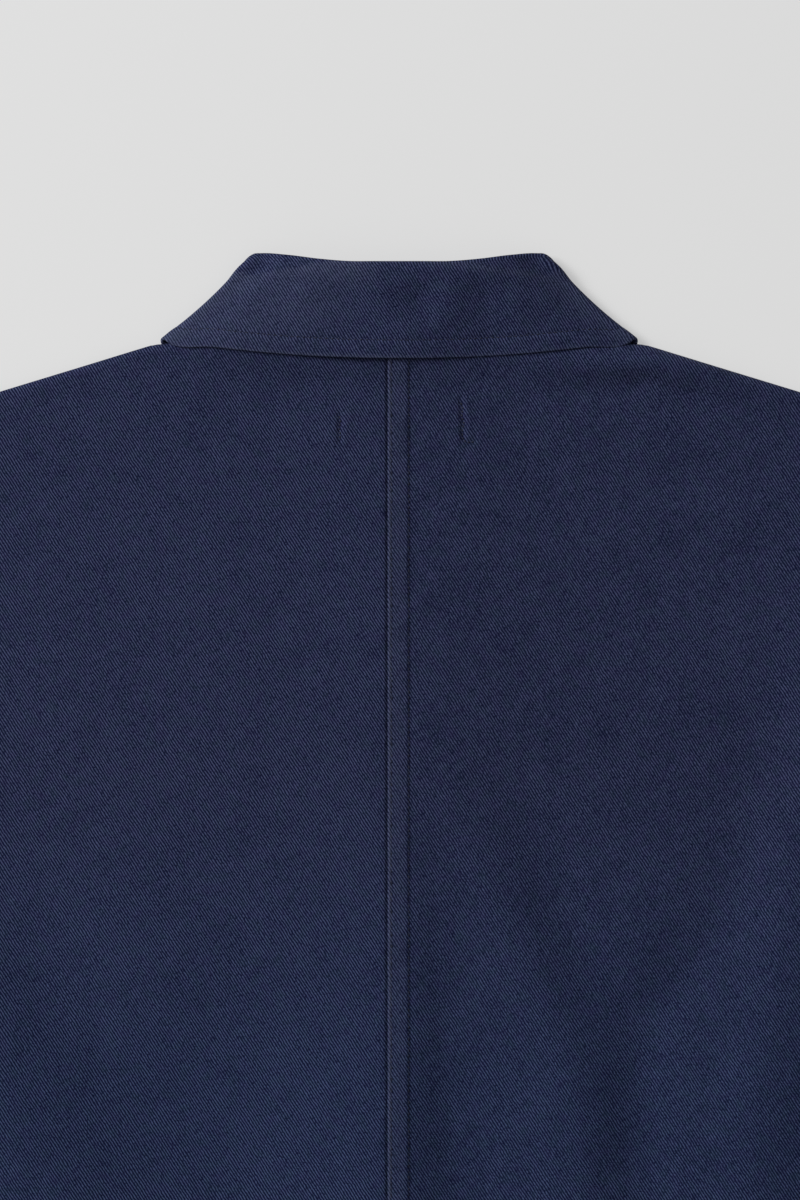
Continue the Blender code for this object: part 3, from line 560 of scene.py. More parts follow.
def fellRelief(x, y):
    wander = 1.1 * np.sin(y / 37) + 0.8 * np.sin(y / 11.3) + 0.5 * np.sin(y / 4.3 + 1)
    rope = np.sin(fullTurn * (y + 0.7 * x + wander) / fell["puckerLength"])
    uneven = 0.65 + 0.35 * np.sin(y / 19 + 1.1) * np.sin(y / 7.7)
    strip = smooth((x - fell["left"] - 0.6) / 2.2) * smooth((fell["stitch"] + 0.6 - x) / 2.0)
    folded = hump(x - fell["left"] - 1.1, 0.9) * (0.8 + 0.2 * np.sin(y / 2.9 + np.sin(y / 13)))
    relief = fell["ridge"] * folded + fell["pucker"] * rope * uneven * strip
    relief += fell["besideStitch"] * rope * uneven * hump(x - fell["stitch"] - 2.6, 2.2)
    deep = 0.7 + 0.3 * np.cos(fullTurn * ((y + 13) / stitch["pitch"] - 0.5)) - 0.4 * rope * uneven
    relief -= fell["groove"] * deep * hump(x - fell["stitch"] - 0.1, 0.7)
    return relief - fell["edgeGroove"] * hump(x - fell["edgeStitch"], 0.6)


labelTacks = {  # two short rows that hold the label inside the back, x, y
    "left": [(-31.2, -50.6), (-30.4, -54.0), (-31.4, -57.4), (-30.6, -60.6), (-31.0, -64.2)],
    "right": [(32.0, -43.6), (33.2, -47.4), (32.2, -51.0), (34.0, -54.6), (32.8, -57.8), (33.2, -63.6),
              (36.4, -65.0), (39.6, -63.8)],
}


def tackDents(x, y):
    dent = np.zeros(np.shape(x))
    for line in labelTacks.values():
        dent += 1.2 * hump(lineDistance(np.array(line), x, y), 1.25)
        dent -= 0.3 * hump(lineDistance(np.array(line) + (3.2, 0), x, y), 2.2)
    return dent


def buildBacks():
    rows = panelRows(jacket["length"] - jacket["backNeckDrop"], 1.85)
    rightXs = spaced([(-6, 0.22), (-5.1, 0.42), (-3.4, 0.75), (3.4, 0.5), (6, 0.7), (9, 1.0), (12, 3.0),
                      (28, 0.95), (42, 2.4), (52, 4.4), (68, 3.6), (79, 2.1)] + sideStops(4.8))
    leftXs = spaced([(-5, 2.0), (5, 0.6), (8, 3.0), (26, 1.0), (36, 2.6), (46, 4.6), (68, 3.6), (79, 2.1)]
                    + sideStops(4.8))
    made = {}
    for node, side, columnXs, steady in (("back_right", 1, rightXs, 7.7), ("back_left", -1, leftXs, 6.4)):
        x, y, hemDistance, armhole = panelGrid(columnXs, steady, backNeckline, rows)
        height = topHeight(side * x, y) - tackDents(side * x, y)
        height += 0.35 * hump(hemDistance - 10, 9) - 0.4 * hump(hemDistance - jacket["hemStitch"], 1.1)
        wearAndHighlight = 0.45 * hump(hemDistance, 2.0)
        thin = edgeWall(hemDistance)
        if side > 0:
            start, end = fell["drop"]
            height += fell["raise"] * smooth((end - x) / (end - start)) + fellRelief(x, y)
            height -= 0.45 * (1 - edgeWall(x - fell["left"], 1.0, 0.0))
            # the folded edge is rubbed, and lighter still as a painted highlight where its raised rim catches
            # the light; the strip up to the stitch is a little lighter too
            wearAndHighlight = np.maximum(wearAndHighlight, 0.95 * hump(x - fell["left"] - 1.15, 1.05))
            wearAndHighlight = np.maximum(wearAndHighlight, 0.22 * smooth((fell["stitch"] - 0.9 - x) / 2))
            thin = np.minimum(thin, edgeWall(x - fell["left"], 0.9, 0.5))
        else:
            height -= fell["dip"] * smooth((7.4 - x) / 1.2)
        height += 0.8 * hump(armhole - 3.0, 3.6) * smooth((x - 200) / 20)
        height -= 0.35 * hump(armhole - jacket["armholeStitch"], 1.1)
        points = panelPoints(side, x, y, height, 1)
        sheet = clothSheet(node, points, np.stack([side * x, y], -1), (0, 0, 1), wearAndHighlight)
        made[node] = clothWall(sheet, jacket["cloth"], thin=thin)
        print(node, "sheet made")
    return made


def buildFronts():
    rows = panelRows(jacket["length"] - jacket["frontNeckDrop"], 3.6)
    placketXs = spaced([(-20, 0.3), (-19.1, 1.3), (17, 0.9), (22.4, None)])[:-1]
    neckXs = neckX * np.sin(np.radians(spaced([(16, 3.2), (86, None)])))
    columnXs = np.concatenate([placketXs, neckXs, spaced(sideStops(4.6))])
    made = {}
    for node, side, edge in (("front_right", 1, 20.6), ("front_left", -1, 20.0)):
        x, y, hemDistance, armhole = panelGrid(columnXs, edge, frontNeckline, rows)
        height = underHeight(side * x, y)
        placketEdge = x + jacket["placketHalf"]
        height += 0.25 * hump(hemDistance - jacket["hemStitch"], 1.3)
        if side > 0:
            height += (jacket["cloth"] + jacket["layGap"]) * smooth((24.2 - x) / 2.2)
        else:
            height += 0.3 * hump(placketEdge - 2.2, 1.1) + 0.3 * hump(placketEdge - 34, 1.1)
        height += 0.3 * hump(armhole - jacket["armholeStitch"], 1.2)
        points = panelPoints(side, x, y, height, -1)
        wearAndHighlight = np.maximum(0.5 * hump(placketEdge, 1.8), 0.45 * hump(hemDistance, 2.0))
        sheet = clothSheet(node, points, np.stack([-side * x, y], -1), (0, 0, -1), wearAndHighlight)
        thin = np.minimum(edgeWall(hemDistance), edgeWall(placketEdge))
        made[node] = clothWall(sheet, jacket["cloth"], thin=thin)
        print(node, "sheet made")
    return made


sleeve = {
    "cuffOuter": (545.0, -572.0),
    "cuffInner": (417.0, -640.0),
    "shoulderHandle": (52.0, -17.0),
    "elbow": (402.0, -300.0),
    "underarmHandle": (22.0, -52.0),
    "wrist": (372.0, -548.0),
    "fan": 1.3,
    "turning": 4,
    "turnPower": 2.6,
    "lineHandle": 36.0,
    "armholeHandle": 52.5,
    "rings": 14,
    "step": 4.6,
    "cuffHem": 22.0,
    "gap": 0.06,
    "gapWays": ((0.98, 0.15), (0.3, -0.94)),  # out of the armhole, at the shoulder and at the underarm
}


def sleeveEdges(share):
    outer = bezier((shoulderPoint, shoulderPoint + sleeve["shoulderHandle"], sleeve["elbow"],
                    sleeve["cuffOuter"]), share)
    inner = bezier((underarmPoint, underarmPoint + sleeve["underarmHandle"], sleeve["wrist"],
                    sleeve["cuffInner"]), share ** sleeve["fan"])
    return outer, inner


def sleeveLine(ring):  # a line across the sleeve, shoulder edge to underarm edge
    count = sleeve["rings"]
    gaps = np.array(sleeve["gapWays"]) * sleeve["gap"]
    first, last = (edge + gap for edge, gap in zip(sleeveEdges(ring / count), gaps))
    after = sleeveEdges(min(ring + 1, count) / count)[1]
    before = sleeveEdges(max(ring - 1, 0) / count)[1]
    way = after - before
    square = math.atan2(way[1], way[0]) + math.pi / 2
    scoop = math.atan2(jacket["armholeLow"][1], jacket["armholeLow"][0])
    turn = square + (scoop - square) * max(0.0, 1 - ring / sleeve["turning"]) ** sleeve["turnPower"]
    reach = (last - first) / 3
    early = max(0.0, 1 - ring / (sleeve["turning"] + 1))
    near = first + reach + (np.array(jacket["armholeHigh"]) - reach) * early
    handle = sleeve["lineHandle"] + (sleeve["armholeHandle"] - sleeve["lineHandle"]) * max(0.0, 1 - ring)
    far = last + np.array([math.cos(turn), math.sin(turn)]) * handle
    return bezier((first, near, far, last), np.linspace(0, 1, 90))


def foldedOut(over, under):  # one half of the grid, then the other back to where it began
    return np.concatenate([over, under[:, ::-1][:, 1:]], 1)


def buildSleeve(node, side):
    length = lineLength(np.array([sleeveEdges(t)[0] for t in np.linspace(0, 1, 40)]))
    cuffSteps = spaced([(0, 0.4), (6, 2.0), (30, sleeve["step"]), (length - 30, 2.0), (length - 4, 0.8),
                        (length - 0.9, 0.3), (length, None)])
    rings = cuffSteps / length * sleeve["rings"]
    lines = [sleeveLine(ring) for ring in rings]
    underarmEdge = np.array([line[-1] for line in lines])[::3]
    firstSteps = spaced([(0, 0.35), (1.4, 0.9), (5, 2.2), (12, None)])[:-1]
    lastSteps = spaced([(0, 0.35), (1.4, 0.9), (5, 1.6), (20, None)])[::-1]
    places = []
    for line in lines:
        whole = lineLength(line)
        middle = np.linspace(12, whole - 20, 40)[:-1]
        places.append(alongLine(line, np.concatenate([firstSteps, middle, whole - lastSteps])))
    places = np.array(places)
    x, y = places[..., 0], places[..., 1]
    across = np.array([distancesAlong(row) for row in places])
    near = roundAngle(across)
    far = roundAngle(lineDistance(underarmEdge, x, y))
    rise = np.cos(np.where(across < across[:, -1:] / 2, near, far))
    seam = seamHeight(side * x, y)
    hem = (length - cuffSteps)[:, None] + 0 * x
    dent = 0.35 * hump(hem - sleeve["cuffHem"], 1.2) + 0.45 * hump(lineDistance(armholeLine, x, y), 2.2)
    above = seam + (topHeight(side * x, y) + 0.3 * hump(hem - 11, 8) - dent - seam) * rise
    below = seam + (underHeight(side * x, y) + dent - seam) * rise
    points = foldedOut(np.stack([side * x, y, above], -1), np.stack([side * x, y, below], -1))
    points[:, -1] = points[:, 0]
    # laid flat, the under half is turned over the underarm edge, and the grain runs down that edge
    down = unit(np.array(sleeve["cuffInner"]) - underarmPoint)
    fromUnderarm = places - underarmPoint
    along, out = fromUnderarm @ down, fromUnderarm @ np.array([-down[1], down[0]])
    grain = np.stack([side * foldedOut(out, -out), -foldedOut(along, along)], -1)
    wearAndHighlight = 0.5 * hump(foldedOut(hem, hem), 2.0)
    made = clothWall(clothSheet(node, points, grain, (0, 0, 1), wearAndHighlight, tube=True), jacket["cloth"])
    print(node, "sheet made")
    return made


collar = {
    "top": 34.2,
    "dip": 5.0,  # the fold is this much lower at the centre back
    "edge": -21.2,
    "edgeRise": 8.9,
    "spread": 119.3,
    "foldRadius": 1.25,
    "foldLevel": 16.4,  # height of the fold at the centre back, and its fall to the sides of the neck
    "foldFall": 11.4,
    "hollow": 2.1,  # the sides of the fall are drawn in half way down
    "stitch": 9.4,  # edge stitch, in from the edge
    "standRow": 19,  # the first of the sheet's rows that isn't the stand's
    "foldRow": 21,  # at the fold
    "fallRow": 29,  # where the fall starts
    "lastBack": 55,  # column from the centre back where the turn round the neck starts
    # where each ring turns round the side of the neck: last point of the back, first of the front, bulge
    "neck": ((79.0, -0.7), (80.4, -12.6), (1.5, 11.6)),
    "fold": ((72.0, 31.8), (79.0, 19.6), (4.4, 1.5)),
    "lower": ((120.2, -12.7), (121.6, -17.2), (3.1, 3.2)),
    "lift": 4.6,  # of the lower edge, off the back
    # where the edge lies closer or stands off: x, half width, depth, and how far up the fall
    "droops": [(46, 30, 3.2), (-90, 34, -2.6)],
    "droopReach": 26.0,
    "swells": [  # x, y, half widths, height
        (-66, 12, 9, 10, -0.9), (-48, 18, 11, 9, 1.3), (-28, 6, 12, 9, -0.5), (-9, 21, 13, 9, 1.7),
        (12, 8, 12, 9, -1.7), (24, 14, 9, 15, 1.5), (45, 4, 10, 16, -1.4), (60, 10, 10, 12, 0.7),
        (-42, -6, 14, 6, 0.5), (2, -10, 12, 6, 0.6), (62, -9, 12, 4, 0.5), (80, 2, 9, 6, -0.5),
    ],
    "paintedHighlights": [  # lines of painted highlight, where the collar's left side faces the light and along its right edge; half width, depth
        ([(-24, 30), (-78, 29), (-126, -14)], 12, 0.62), ([(-52, 12), (-96, -8)], 26, 0.3),
        ([(74, 28), (126, -14)], 8, 0.34),
    ],
    "backXs": (0, 12, 26, 42, 58),
    "frontNeckAngles": (65, 51, 38, 25, 13.9, 1.2),
    "frontFold": ((70, 6), (62, -14), (50, -34), (36, -51), (20, -65), (2.6, -76)),
    "frontEdge": ((121, -34), (117, -56), (107, -78), (93, -99), (76, -119), (57, -136)),
}


def foldTop(x):
    rise = smooth((abs(x) - 22) / 62)
    top = collar["top"] - collar["dip"] * (1 - 1.16 * rise)
    return top - collar["foldRadius"] - jacket["collarCloth"] / 2


def lowerEdge(x):
    return collar["edge"] + collar["edgeRise"] * (x / collar["spread"]) ** 2


def collarRing(ring):  # points from the centre back to the centre front, and the way out of the neck
    back, front, bulge = (np.array(p) for p in collar[ring])
    rising = {"neck": lambda x: backNeckline(x) + 0.6, "fold": foldTop, "lower": lowerEdge}[ring]
    scale = back[0] / collar["fold"][0][0]
    plan = [((x * scale, float(rising(x * scale))), 0.0) for x in collar["backXs"]] + [(back, 0.0)]
    for angle in np.radians((30, 60, 90, 120, 150)):
        share = (1 - math.cos(angle)) / 2
        plan.append((back + (front - back) * share + bulge * math.sin(angle), angle))
    plan.append((front, math.pi))
    if ring == "neck":
        for turn in np.radians(collar["frontNeckAngles"]):
            out = np.array([math.sin(turn), -math.cos(turn)])
            plan.append((out * (neckX, jacket["frontNeckDrop"]) - out * 0.75, math.pi))
    else:
        plan += [(p, math.pi) for p in collar["frontFold" if ring == "fold" else "frontEdge"]]
    bulgeWay = unit(bulge)
    thick, level = jacket["collarCloth"], jacket["topLevel"] + jacket["neckRise"]
    points, ways = [], []
    for (x, y), angle in plan:
        bridge = float(hump(x, 55))
        sunk = min(1.0, x / back[0]) ** (4 if ring == "lower" else 3)
        if ring == "neck":
            plain = jacket["topLevel"] + jacket["placketCrown"][0] * float(hump(x, jacket["placketCrown"][1]))
            backZ, frontZ = plain + jacket["neckRise"] - 0.6, thick * 1.5 + jacket["layGap"]
        elif ring == "fold":
            backZ = collar["foldLevel"] - collar["foldFall"] * sunk
            frontZ = thick / 2 + collar["foldRadius"]
        else:
            lap = jacket["placketCrown"][0] + jacket["cloth"] + jacket["layGap"]
            backZ = level + jacket["layGap"] + thick / 2 + lap * bridge
            backZ += collar["lift"] * (1 - sunk) - 1.4 * sunk
            frontZ = thick / 2
        z = (backZ + frontZ) / 2 + (backZ - frontZ) / 2 * math.cos(angle)
        points.append((x, y, z))
        ways.append((bulgeWay[0] * math.sin(angle), bulgeWay[1] * math.sin(angle), math.cos(angle)))
    return np.array(points), np.array(ways)


def collarGrid():  # middle of the cloth, from the neck seam over the fold to the edge, centre back first
    (neck, _), (fold, outs), (lower, _) = (collarRing(r) for r in ("neck", "fold", "lower"))
    firstTurn = len(collar["backXs"])
    lastTurn = firstTurn + 6
    columns = []
    for j, (low, centre, out, end) in enumerate(zip(neck, fold, outs, lower)):
        following = fold[min(j + 1, len(fold) - 1)] - fold[max(j - 1, 0)]
        up = unit(np.cross(out, [1.0, 0, 0] if j == 0 else unit(following)))
        up = -up if up @ (centre - low) < 0 else up
        turn = [centre + collar["foldRadius"] * (out * math.sin(a) + up * math.cos(a))
                for a in np.radians((-90, -45, 0, 45, 90))]
        stand = [low + (turn[0] - low) * t for t in (0, 0.35, 0.7)]
        drawnIn = collar["hollow"] * max(0.0, 1 - 0.55 * max(0, firstTurn - j, j - lastTurn))
        fall = [turn[-1] + (end - turn[-1]) * t - np.array([0.9, 0.44, 0]) * drawnIn * 4 * t * (1 - t)
                for t in (0.28, 0.55, 0.8, 1.0)]
        columns.append(stand + turn + fall)
    return np.array(columns).transpose(1, 0, 2)


def gridNormals(points):
    down = np.gradient(points, axis=0)
    across = np.gradient(points, axis=1)
    normals = np.cross(down, across)
    return normals / np.linalg.norm(normals, axis=-1, keepdims=True).clip(1e-9)


def meeting(first, second, fromFirst, fromSecond, side):  # of two circles, on one side of their line
    way = second - first
    apart = math.hypot(*way)
    along = (fromFirst**2 - fromSecond**2 + apart**2) / (2 * apart)
    out = math.sqrt(max(0.0, fromFirst**2 - along**2)) * side
    return first + (way * along + np.array([-way[1], way[0]]) * out) / apart


def sideways(first, second):  # from one row to another, and square to that along the rows
    ways = unit(second - first)
    aside = np.gradient(first + second, axis=0)
    return ways, unit(aside - ways * (aside * ways).sum(1, keepdims=True))


def collarGrain(points, fromEdge):  # the back as it lies, and each front laid flat on from its end
    fold, edge = points[collar["fallRow"]], points[-1]
    middle = points.shape[1] // 2
    foldAt, edgeAt = fold[:, :2].copy(), edge[:, :2].copy()
    for side in (-1, 1):
        for k in range(collar["lastBack"] + 1, middle + 1):
            at, before = middle + side * k, middle + side * (k - 1)
            spans = ((fold[at], fold[before]), (fold[at], edge[before]), (edge[at], edge[before]),
                     (edge[at], fold[at]))
            gaps = [float(np.linalg.norm(a - b)) for a, b in spans]
            foldAt[at] = meeting(foldAt[before], edgeAt[before], gaps[0], gaps[1], side)
            edgeAt[at] = meeting(edgeAt[before], foldAt[at], gaps[2], gaps[3], -side)
    ways, aside = sideways(edgeAt, foldAt)
    stray = ((points - edge) * sideways(edge, fold)[1]).sum(-1)
    stray[:collar["fallRow"]] = 0.0
    grain = edgeAt + ways * fromEdge[..., None] + aside * stray[..., None]
    # the stand is laid above the fall, straight along its length
    stand = collar["standRow"]
    along = distancesAlong(points[stand // 2])
    grain[:stand, :, 0] = along - along[middle]
    grain[:stand, :, 1] = grain[..., 1].max() + fromEdge[:stand] - fromEdge[stand - 1]
    return grain


def fineCollar():  # the whole grid in small steps, and how far each point is from the edge
    half = collarGrid()
    whole = np.concatenate([half[:, :0:-1] * (-1, 1, 1), half], 1)
    columns = [11] * (whole.shape[1] - 1)
    points = throughPoints(whole.transpose(1, 0, 2), columns).transpose(1, 0, 2)
    points = throughPoints(points, [4, 4, 5, 4, 4, 4, 4, 8, 9, 11, 14])
    # two closer rows round the edge off
    edgeWay = points[-1:] - points[-2:-1]
    points = np.concatenate([points[:-1]] + [points[-1:] - edgeWay * share for share in (0.5, 0.15, 0)])
    steps = np.linalg.norm(np.diff(points, axis=0), axis=-1)
    return points, np.concatenate([steps[::-1].cumsum(0)[::-1], np.zeros((1, points.shape[1]))])


def collarRelief(grain, fromEdge, ring, inset):  # stitch grooves, puckers and swells, out of the cloth
    fall = smooth((44 - fromEdge) / 10)
    turning = np.abs(np.arange(grain.shape[1]) - grain.shape[1] // 2) - collar["lastBack"] - 22
    drawn = 1 - 0.85 * hump(turning, 24)
    each = 0.75 + 0.25 * np.cos(fullTurn * ring / stitch["pitch"])
    relief = 0.3 * hump(inset - 4.8, 3.2) - 0.75 * drawn * hump(inset - collar["stitch"], 0.8) * each
    pucker = np.sin(fullTurn * (ring + 0.5 * fromEdge) / 7.3 + np.sin(ring / 17))
    relief += 0.09 * pucker * hump(inset - 6, 6)
    for x, y, wideX, wideY, height in collar["swells"]:
        relief += height * hump(np.hypot((grain[..., 0] - x) / wideX, (grain[..., 1] - y) / wideY), 1) * fall
    return relief


def collarWearAndHighlight(points, grain, fromEdge):  # rubbed along the edge and the fold, with painted highlight along the edge towards the lit left side and in patches
    # painted highlight: the rubbed edge gets lighter towards the left, the side that faces the light
    edgeWearAndHighlight = 0.45 + 0.35 * smooth((30 - points[..., 0]) / 60)
    wearAndHighlight = np.maximum(edgeWearAndHighlight * hump(fromEdge - 0.3, 1.3), 0.4 * hump(fromEdge - 51.5, 2.4))
    for line, width, depth in collar["paintedHighlights"]:
        paintedHighlights = depth * hump(lineDistance(np.array(line), grain[..., 0], grain[..., 1]), width)
        wearAndHighlight = np.maximum(wearAndHighlight, np.where(fromEdge < 54, paintedHighlights, 0.0))
    return wearAndHighlight


def buildCollar():
    points, fromEdge = fineCollar()
    grain = collarGrain(points, fromEdge)
    aroundBack = collar["lastBack"] + 12 - np.abs(np.arange(points.shape[1]) - points.shape[1] // 2)
    nearEdge = smooth(1 - fromEdge / collar["droopReach"]) * smooth(aroundBack / 12)
    for middleX, wide, depth in collar["droops"]:
        points[..., 2] -= depth * hump(points[..., 0] - middleX, wide) * nearEdge
    ring = distancesAlong(points[-12])  # how far each column is from the centre back
    ring = (ring - ring[-1] / 2)[None] + 0 * fromEdge
    ends = np.minimum(*(lineDistance(grain[collar["foldRow"]::6, k], grain[..., 0], grain[..., 1])
                        for k in (0, -1)))
    ends = np.where(np.abs(ring) < 150, 99.0, ends)
    inset = np.minimum(lineDistance(grain[-1], grain[..., 0], grain[..., 1]), ends)
    normals = gridNormals(points)
    if normals[-10, normals.shape[1] // 2, 2] < 0:
        normals = -normals
    points = points + normals * collarRelief(grain, fromEdge, ring, inset)[..., None]
    # the cloth stays above the floor
    lowest = jacket["collarCloth"] / 2 + 0.25
    over = points[..., 2] - lowest
    points[..., 2] = lowest + 0.5 * (over + np.sqrt(over * over + 0.04))
    wearAndHighlight = collarWearAndHighlight(points, grain, fromEdge)
    sheet = clothSheet("collar", points, grain, (0, 0, 1), wearAndHighlight, parts=[collar["standRow"]])
    # the fall's outer face is up at the centre back
    centre = sheet.data.polygons[(points.shape[0] - 12) * (points.shape[1] - 1) + points.shape[1] // 2]
    if centre.normal.z < 0:
        sheet.data.flip_normals()
    made = clothWall(sheet, jacket["collarCloth"], offset=0.0, thin=edgeWall(fromEdge, 1.0, 0.35))
    print("collar made")
    return made, points, normals, inset, ends


patch = {
    "hem": 20.0,
    "rows": (1.8, 7.6),  # edge stitches, in from the edge
    "hemRow": 1.4,  # the hem's stitches, above its end
    "body": 0.22,  # the patch lies this much higher than its hem
}


def buildPocket(node, sizes):
    left, right, top, bottom = sizes["inner"], sizes["outer"], sizes["top"], sizes["bottom"]
    middle, half = (left + right) / 2, (right - left) / 2
    arc = np.radians(spaced([(0, 6), (66, 3), (81, 4.5), (90, None)]))
    cornerStart = top - bottom - pocketCorner
    straight = spaced([(0, 0.3), (0.9, 2.0), (16, 0.8), (23, 2.6), (cornerStart, None)])[:-1]
    down = np.concatenate([straight, cornerStart + pocketCorner * np.sin(arc)])
    halves = np.concatenate([half + 0 * straight, half - pocketCorner * (1 - np.cos(arc))])
    fine = 9.0 / half
    shares = spaced([(-1, 0.5 / half), (fine - 1, 2.6 / half), (1 - fine, 0.5 / half), (1, None)])
    x = middle + halves[:, None] * shares[None]
    down = down[:, None] + 0 * x
    y = top - down
    inside = -outlineDistance(pocketOutline(sizes), x, y)
    z = patch["body"] * smooth((down - patch["hem"]) / 1.5) * smooth((inside - 8) / 3)
    z += 0.06 * (1 + np.sin(x / 13 + y / 29)) * smooth((inside - 12) / 12)
    for row in patch["rows"]:
        z += 0.26 * hump(inside - row, 0.8) * smooth(down / 2)
    z += 0.22 * hump(down - patch["hem"] + patch["hemRow"], 0.9)
    z += 0.4 * (1 - edgeWall(inside, 0.9, 0.0))
    points = np.stack([x, y, z], -1)
    grain = np.stack([-x + 3, y + 1.5], -1)
    sheet = clothSheet(node, points, grain, (0, 0, -1), 0.6 * hump(inside, 1.8))
    made = clothWall(sheet, jacket["cloth"], thin=edgeWall(inside, 0.8, 0.45))
    print(node, "made")
    return made


backs = buildBacks()
fronts = buildFronts()
pocketPieces = {node: buildPocket(node, sizes) for node, sizes in pockets.items()}
sleeves = {node: buildSleeve(node, side) for node, side in (("sleeve_right", 1), ("sleeve_left", -1))}
collarPiece, collarPoints, collarNormals, collarInset, collarEnds = buildCollar()
print("cloth made")


# stitches: one is modelled, and copied along each row
bpy.ops.object.select_all(action="DESELECT")
bpy.ops.mesh.primitive_uv_sphere_add(segments=6, ring_count=4, radius=1)
oneStitch = bpy.context.object
grainPoints = np.array([v.co for v in oneStitch.data.vertices])[:, [2, 0, 1]]
grainFaces = [tuple(f.vertices) for f in oneStitch.data.polygons]
bpy.data.objects.remove(oneStitch)
clothTrees = {}


def onCloth(piece, plan, up):  # where a line across the plan meets the outside of a piece
    if piece.name not in clothTrees:
        clothTrees[piece.name] = BVHTree.FromObject(piece, bpy.context.evaluated_depsgraph_get())
    x, y, _ = placed((plan[0], plan[1], 0.0))
    place, normal, _, _ = clothTrees[piece.name].ray_cast(Vector((x, y, 0.06 * up)), Vector((0, 0, -up)))
    return (None, None) if place is None else (np.array(place) / mm, np.array(normal))


def laidStitches(spots):  # spots are (start, end, normal, radius) in mm, in the jacket's own frame
    points, faces = [], []
    for start, end, normal, radius in spots:
        half = np.linalg.norm(end - start) / 2
        along = unit(end - start)
        side = unit(np.cross(normal, along))
        x, y, z = grainPoints.T
        rise = z * radius * 0.85 + stitch["lift"] - stitch["dip"] * x * x
        laid = np.outer(x * half, along) + np.outer(y * radius, side) + np.outer(rise, normal)
        faces += [tuple(i + len(points) * len(x) for i in f) for f in grainFaces]
        points.append((start + end) / 2 + laid)
    return np.concatenate(points) * mm, faces


def sewingPiece(name, spots):
    points, faces = laidStitches(spots)
    mesh = bpy.data.meshes.new(name)
    mesh.from_pydata(points.tolist(), [], faces)
    mesh.update()
    piece = bpy.data.objects.new(name, mesh)
    bpy.context.scene.collection.objects.link(piece)
    selectOnly(piece)
    bpy.ops.object.mode_set(mode="EDIT")
    bpy.ops.mesh.select_all(action="SELECT")
    bpy.ops.mesh.normals_make_consistent(inside=False)
    bpy.ops.object.mode_set(mode="OBJECT")
    bpy.ops.object.shade_smooth()
    return piece


def sewnRow(piece, line, up, pitch=None, radius=None):  # a row of stitches along a line of the plan
    pitch = pitch or stitch["pitch"]
    line = np.asarray(line, float)
    count = int(lineLength(line) / pitch)
    length = pitch * stitch["length"] / stitch["pitch"]
    starts = alongLine(line, np.arange(count) * pitch + (pitch - length) / 2)
    ends = alongLine(line, np.arange(count) * pitch + (pitch + length) / 2)
    spots = []
    for start, end in zip(starts, ends):
        first, normal = onCloth(piece, start, up)
        last, otherNormal = onCloth(piece, end, up)
        if first is None or last is None or abs(first[2] - last[2]) > 1.0:
            continue
        spots.append((first, last, unit(normal + otherNormal), radius or stitch["radius"]))
    return spots


def barTack(piece, start, end, width, up):  # close stitches across a short line
    start, end = np.array(start, float), np.array(end, float)
    way = unit(end - start)
    across = np.array([-way[1], way[0]]) * width / 2
    spots = []
    for distance in np.arange(0, np.linalg.norm(end - start), stitch["tackPitch"]):
        line = [start + way * distance - across, start + way * distance + across]
        spots += sewnRow(piece, line, up, pitch=width * 0.999, radius=stitch["tackRadius"])
    return spots


def mirroredLine(line):
    return [(-x, y) for x, y in line]


def offsetLine(line, distance):
    way = unit(np.gradient(np.asarray(line, float), axis=0))
    return np.asarray(line) + np.stack([way[:, 1], -way[:, 0]], -1) * distance


def cuffLine(inset):
    outer, inner = np.array(sleeve["cuffOuter"]), np.array(sleeve["cuffInner"])
    up = unit(outer - np.array(sleeve["elbow"])) * inset
    return [outer + (inner - outer) * 0.03 - up, inner + (outer - inner) * 0.03 - up]


def pocketRow(sizes, inset):
    outline = pocketOutline({**sizes, "inner": sizes["inner"] + inset, "outer": sizes["outer"] - inset,
                             "bottom": sizes["bottom"] + inset})
    return np.concatenate([outline[1:], outline[:1]]) - (0, 1.0)


armRow = offsetLine(armholeLine[4:-4], jacket["armholeStitch"])
hemXs = np.linspace(8, 281, 40)
hemRow = np.stack([hemXs, hemLine(hemXs) + jacket["hemStitch"]], -1)
buttonhole = {  # across the left placket
    "ends": (-13.5, 12.0),
    "half": 1.3,  # its two edges, up and down from the middle
    "edgeWidth": 2.2,
    "tack": (-13.9, 2.4, 1.9),  # at its outer end: X, half length and width
}
labelThread = {"pitch": 2.1, "radius": 0.52}
sewing = {}  # name of the sewing piece: (node of its cloth, spots)


def sew(name, node, spots):
    sewing.setdefault(name, (node, []))[1].extend(spots)


for x, radius in ((fell["stitch"], stitch["radius"]), (fell["edgeStitch"], 0.2)):
    sew("fell_stitches", "back_right", sewnRow(backs["back_right"], [(x, -13), (x, -727)], 1, radius=radius))
frontHem = np.concatenate([[(-17, jacket["hemStitch"] - jacket["length"])], hemRow])
for side, turned in (("right", lambda line: line), ("left", mirroredLine)):
    for row in (armRow, hemRow):
        sew(f"back_{side}_stitches", f"back_{side}", sewnRow(backs[f"back_{side}"], turned(row), 1))
    for row in (armRow, frontHem):
        sew(f"front_{side}_stitches", f"front_{side}", sewnRow(fronts[f"front_{side}"], turned(row), -1))
    for up in (1, -1):
        row = turned(cuffLine(sleeve["cuffHem"]))
        sew(f"sleeve_{side}_stitches", f"sleeve_{side}", sewnRow(sleeves[f"sleeve_{side}"], row, up))
for x in jacket["placketRows"]:
    sew("front_left_stitches", "front_left", sewnRow(fronts["front_left"], [(x, -92), (x, -727)], -1))
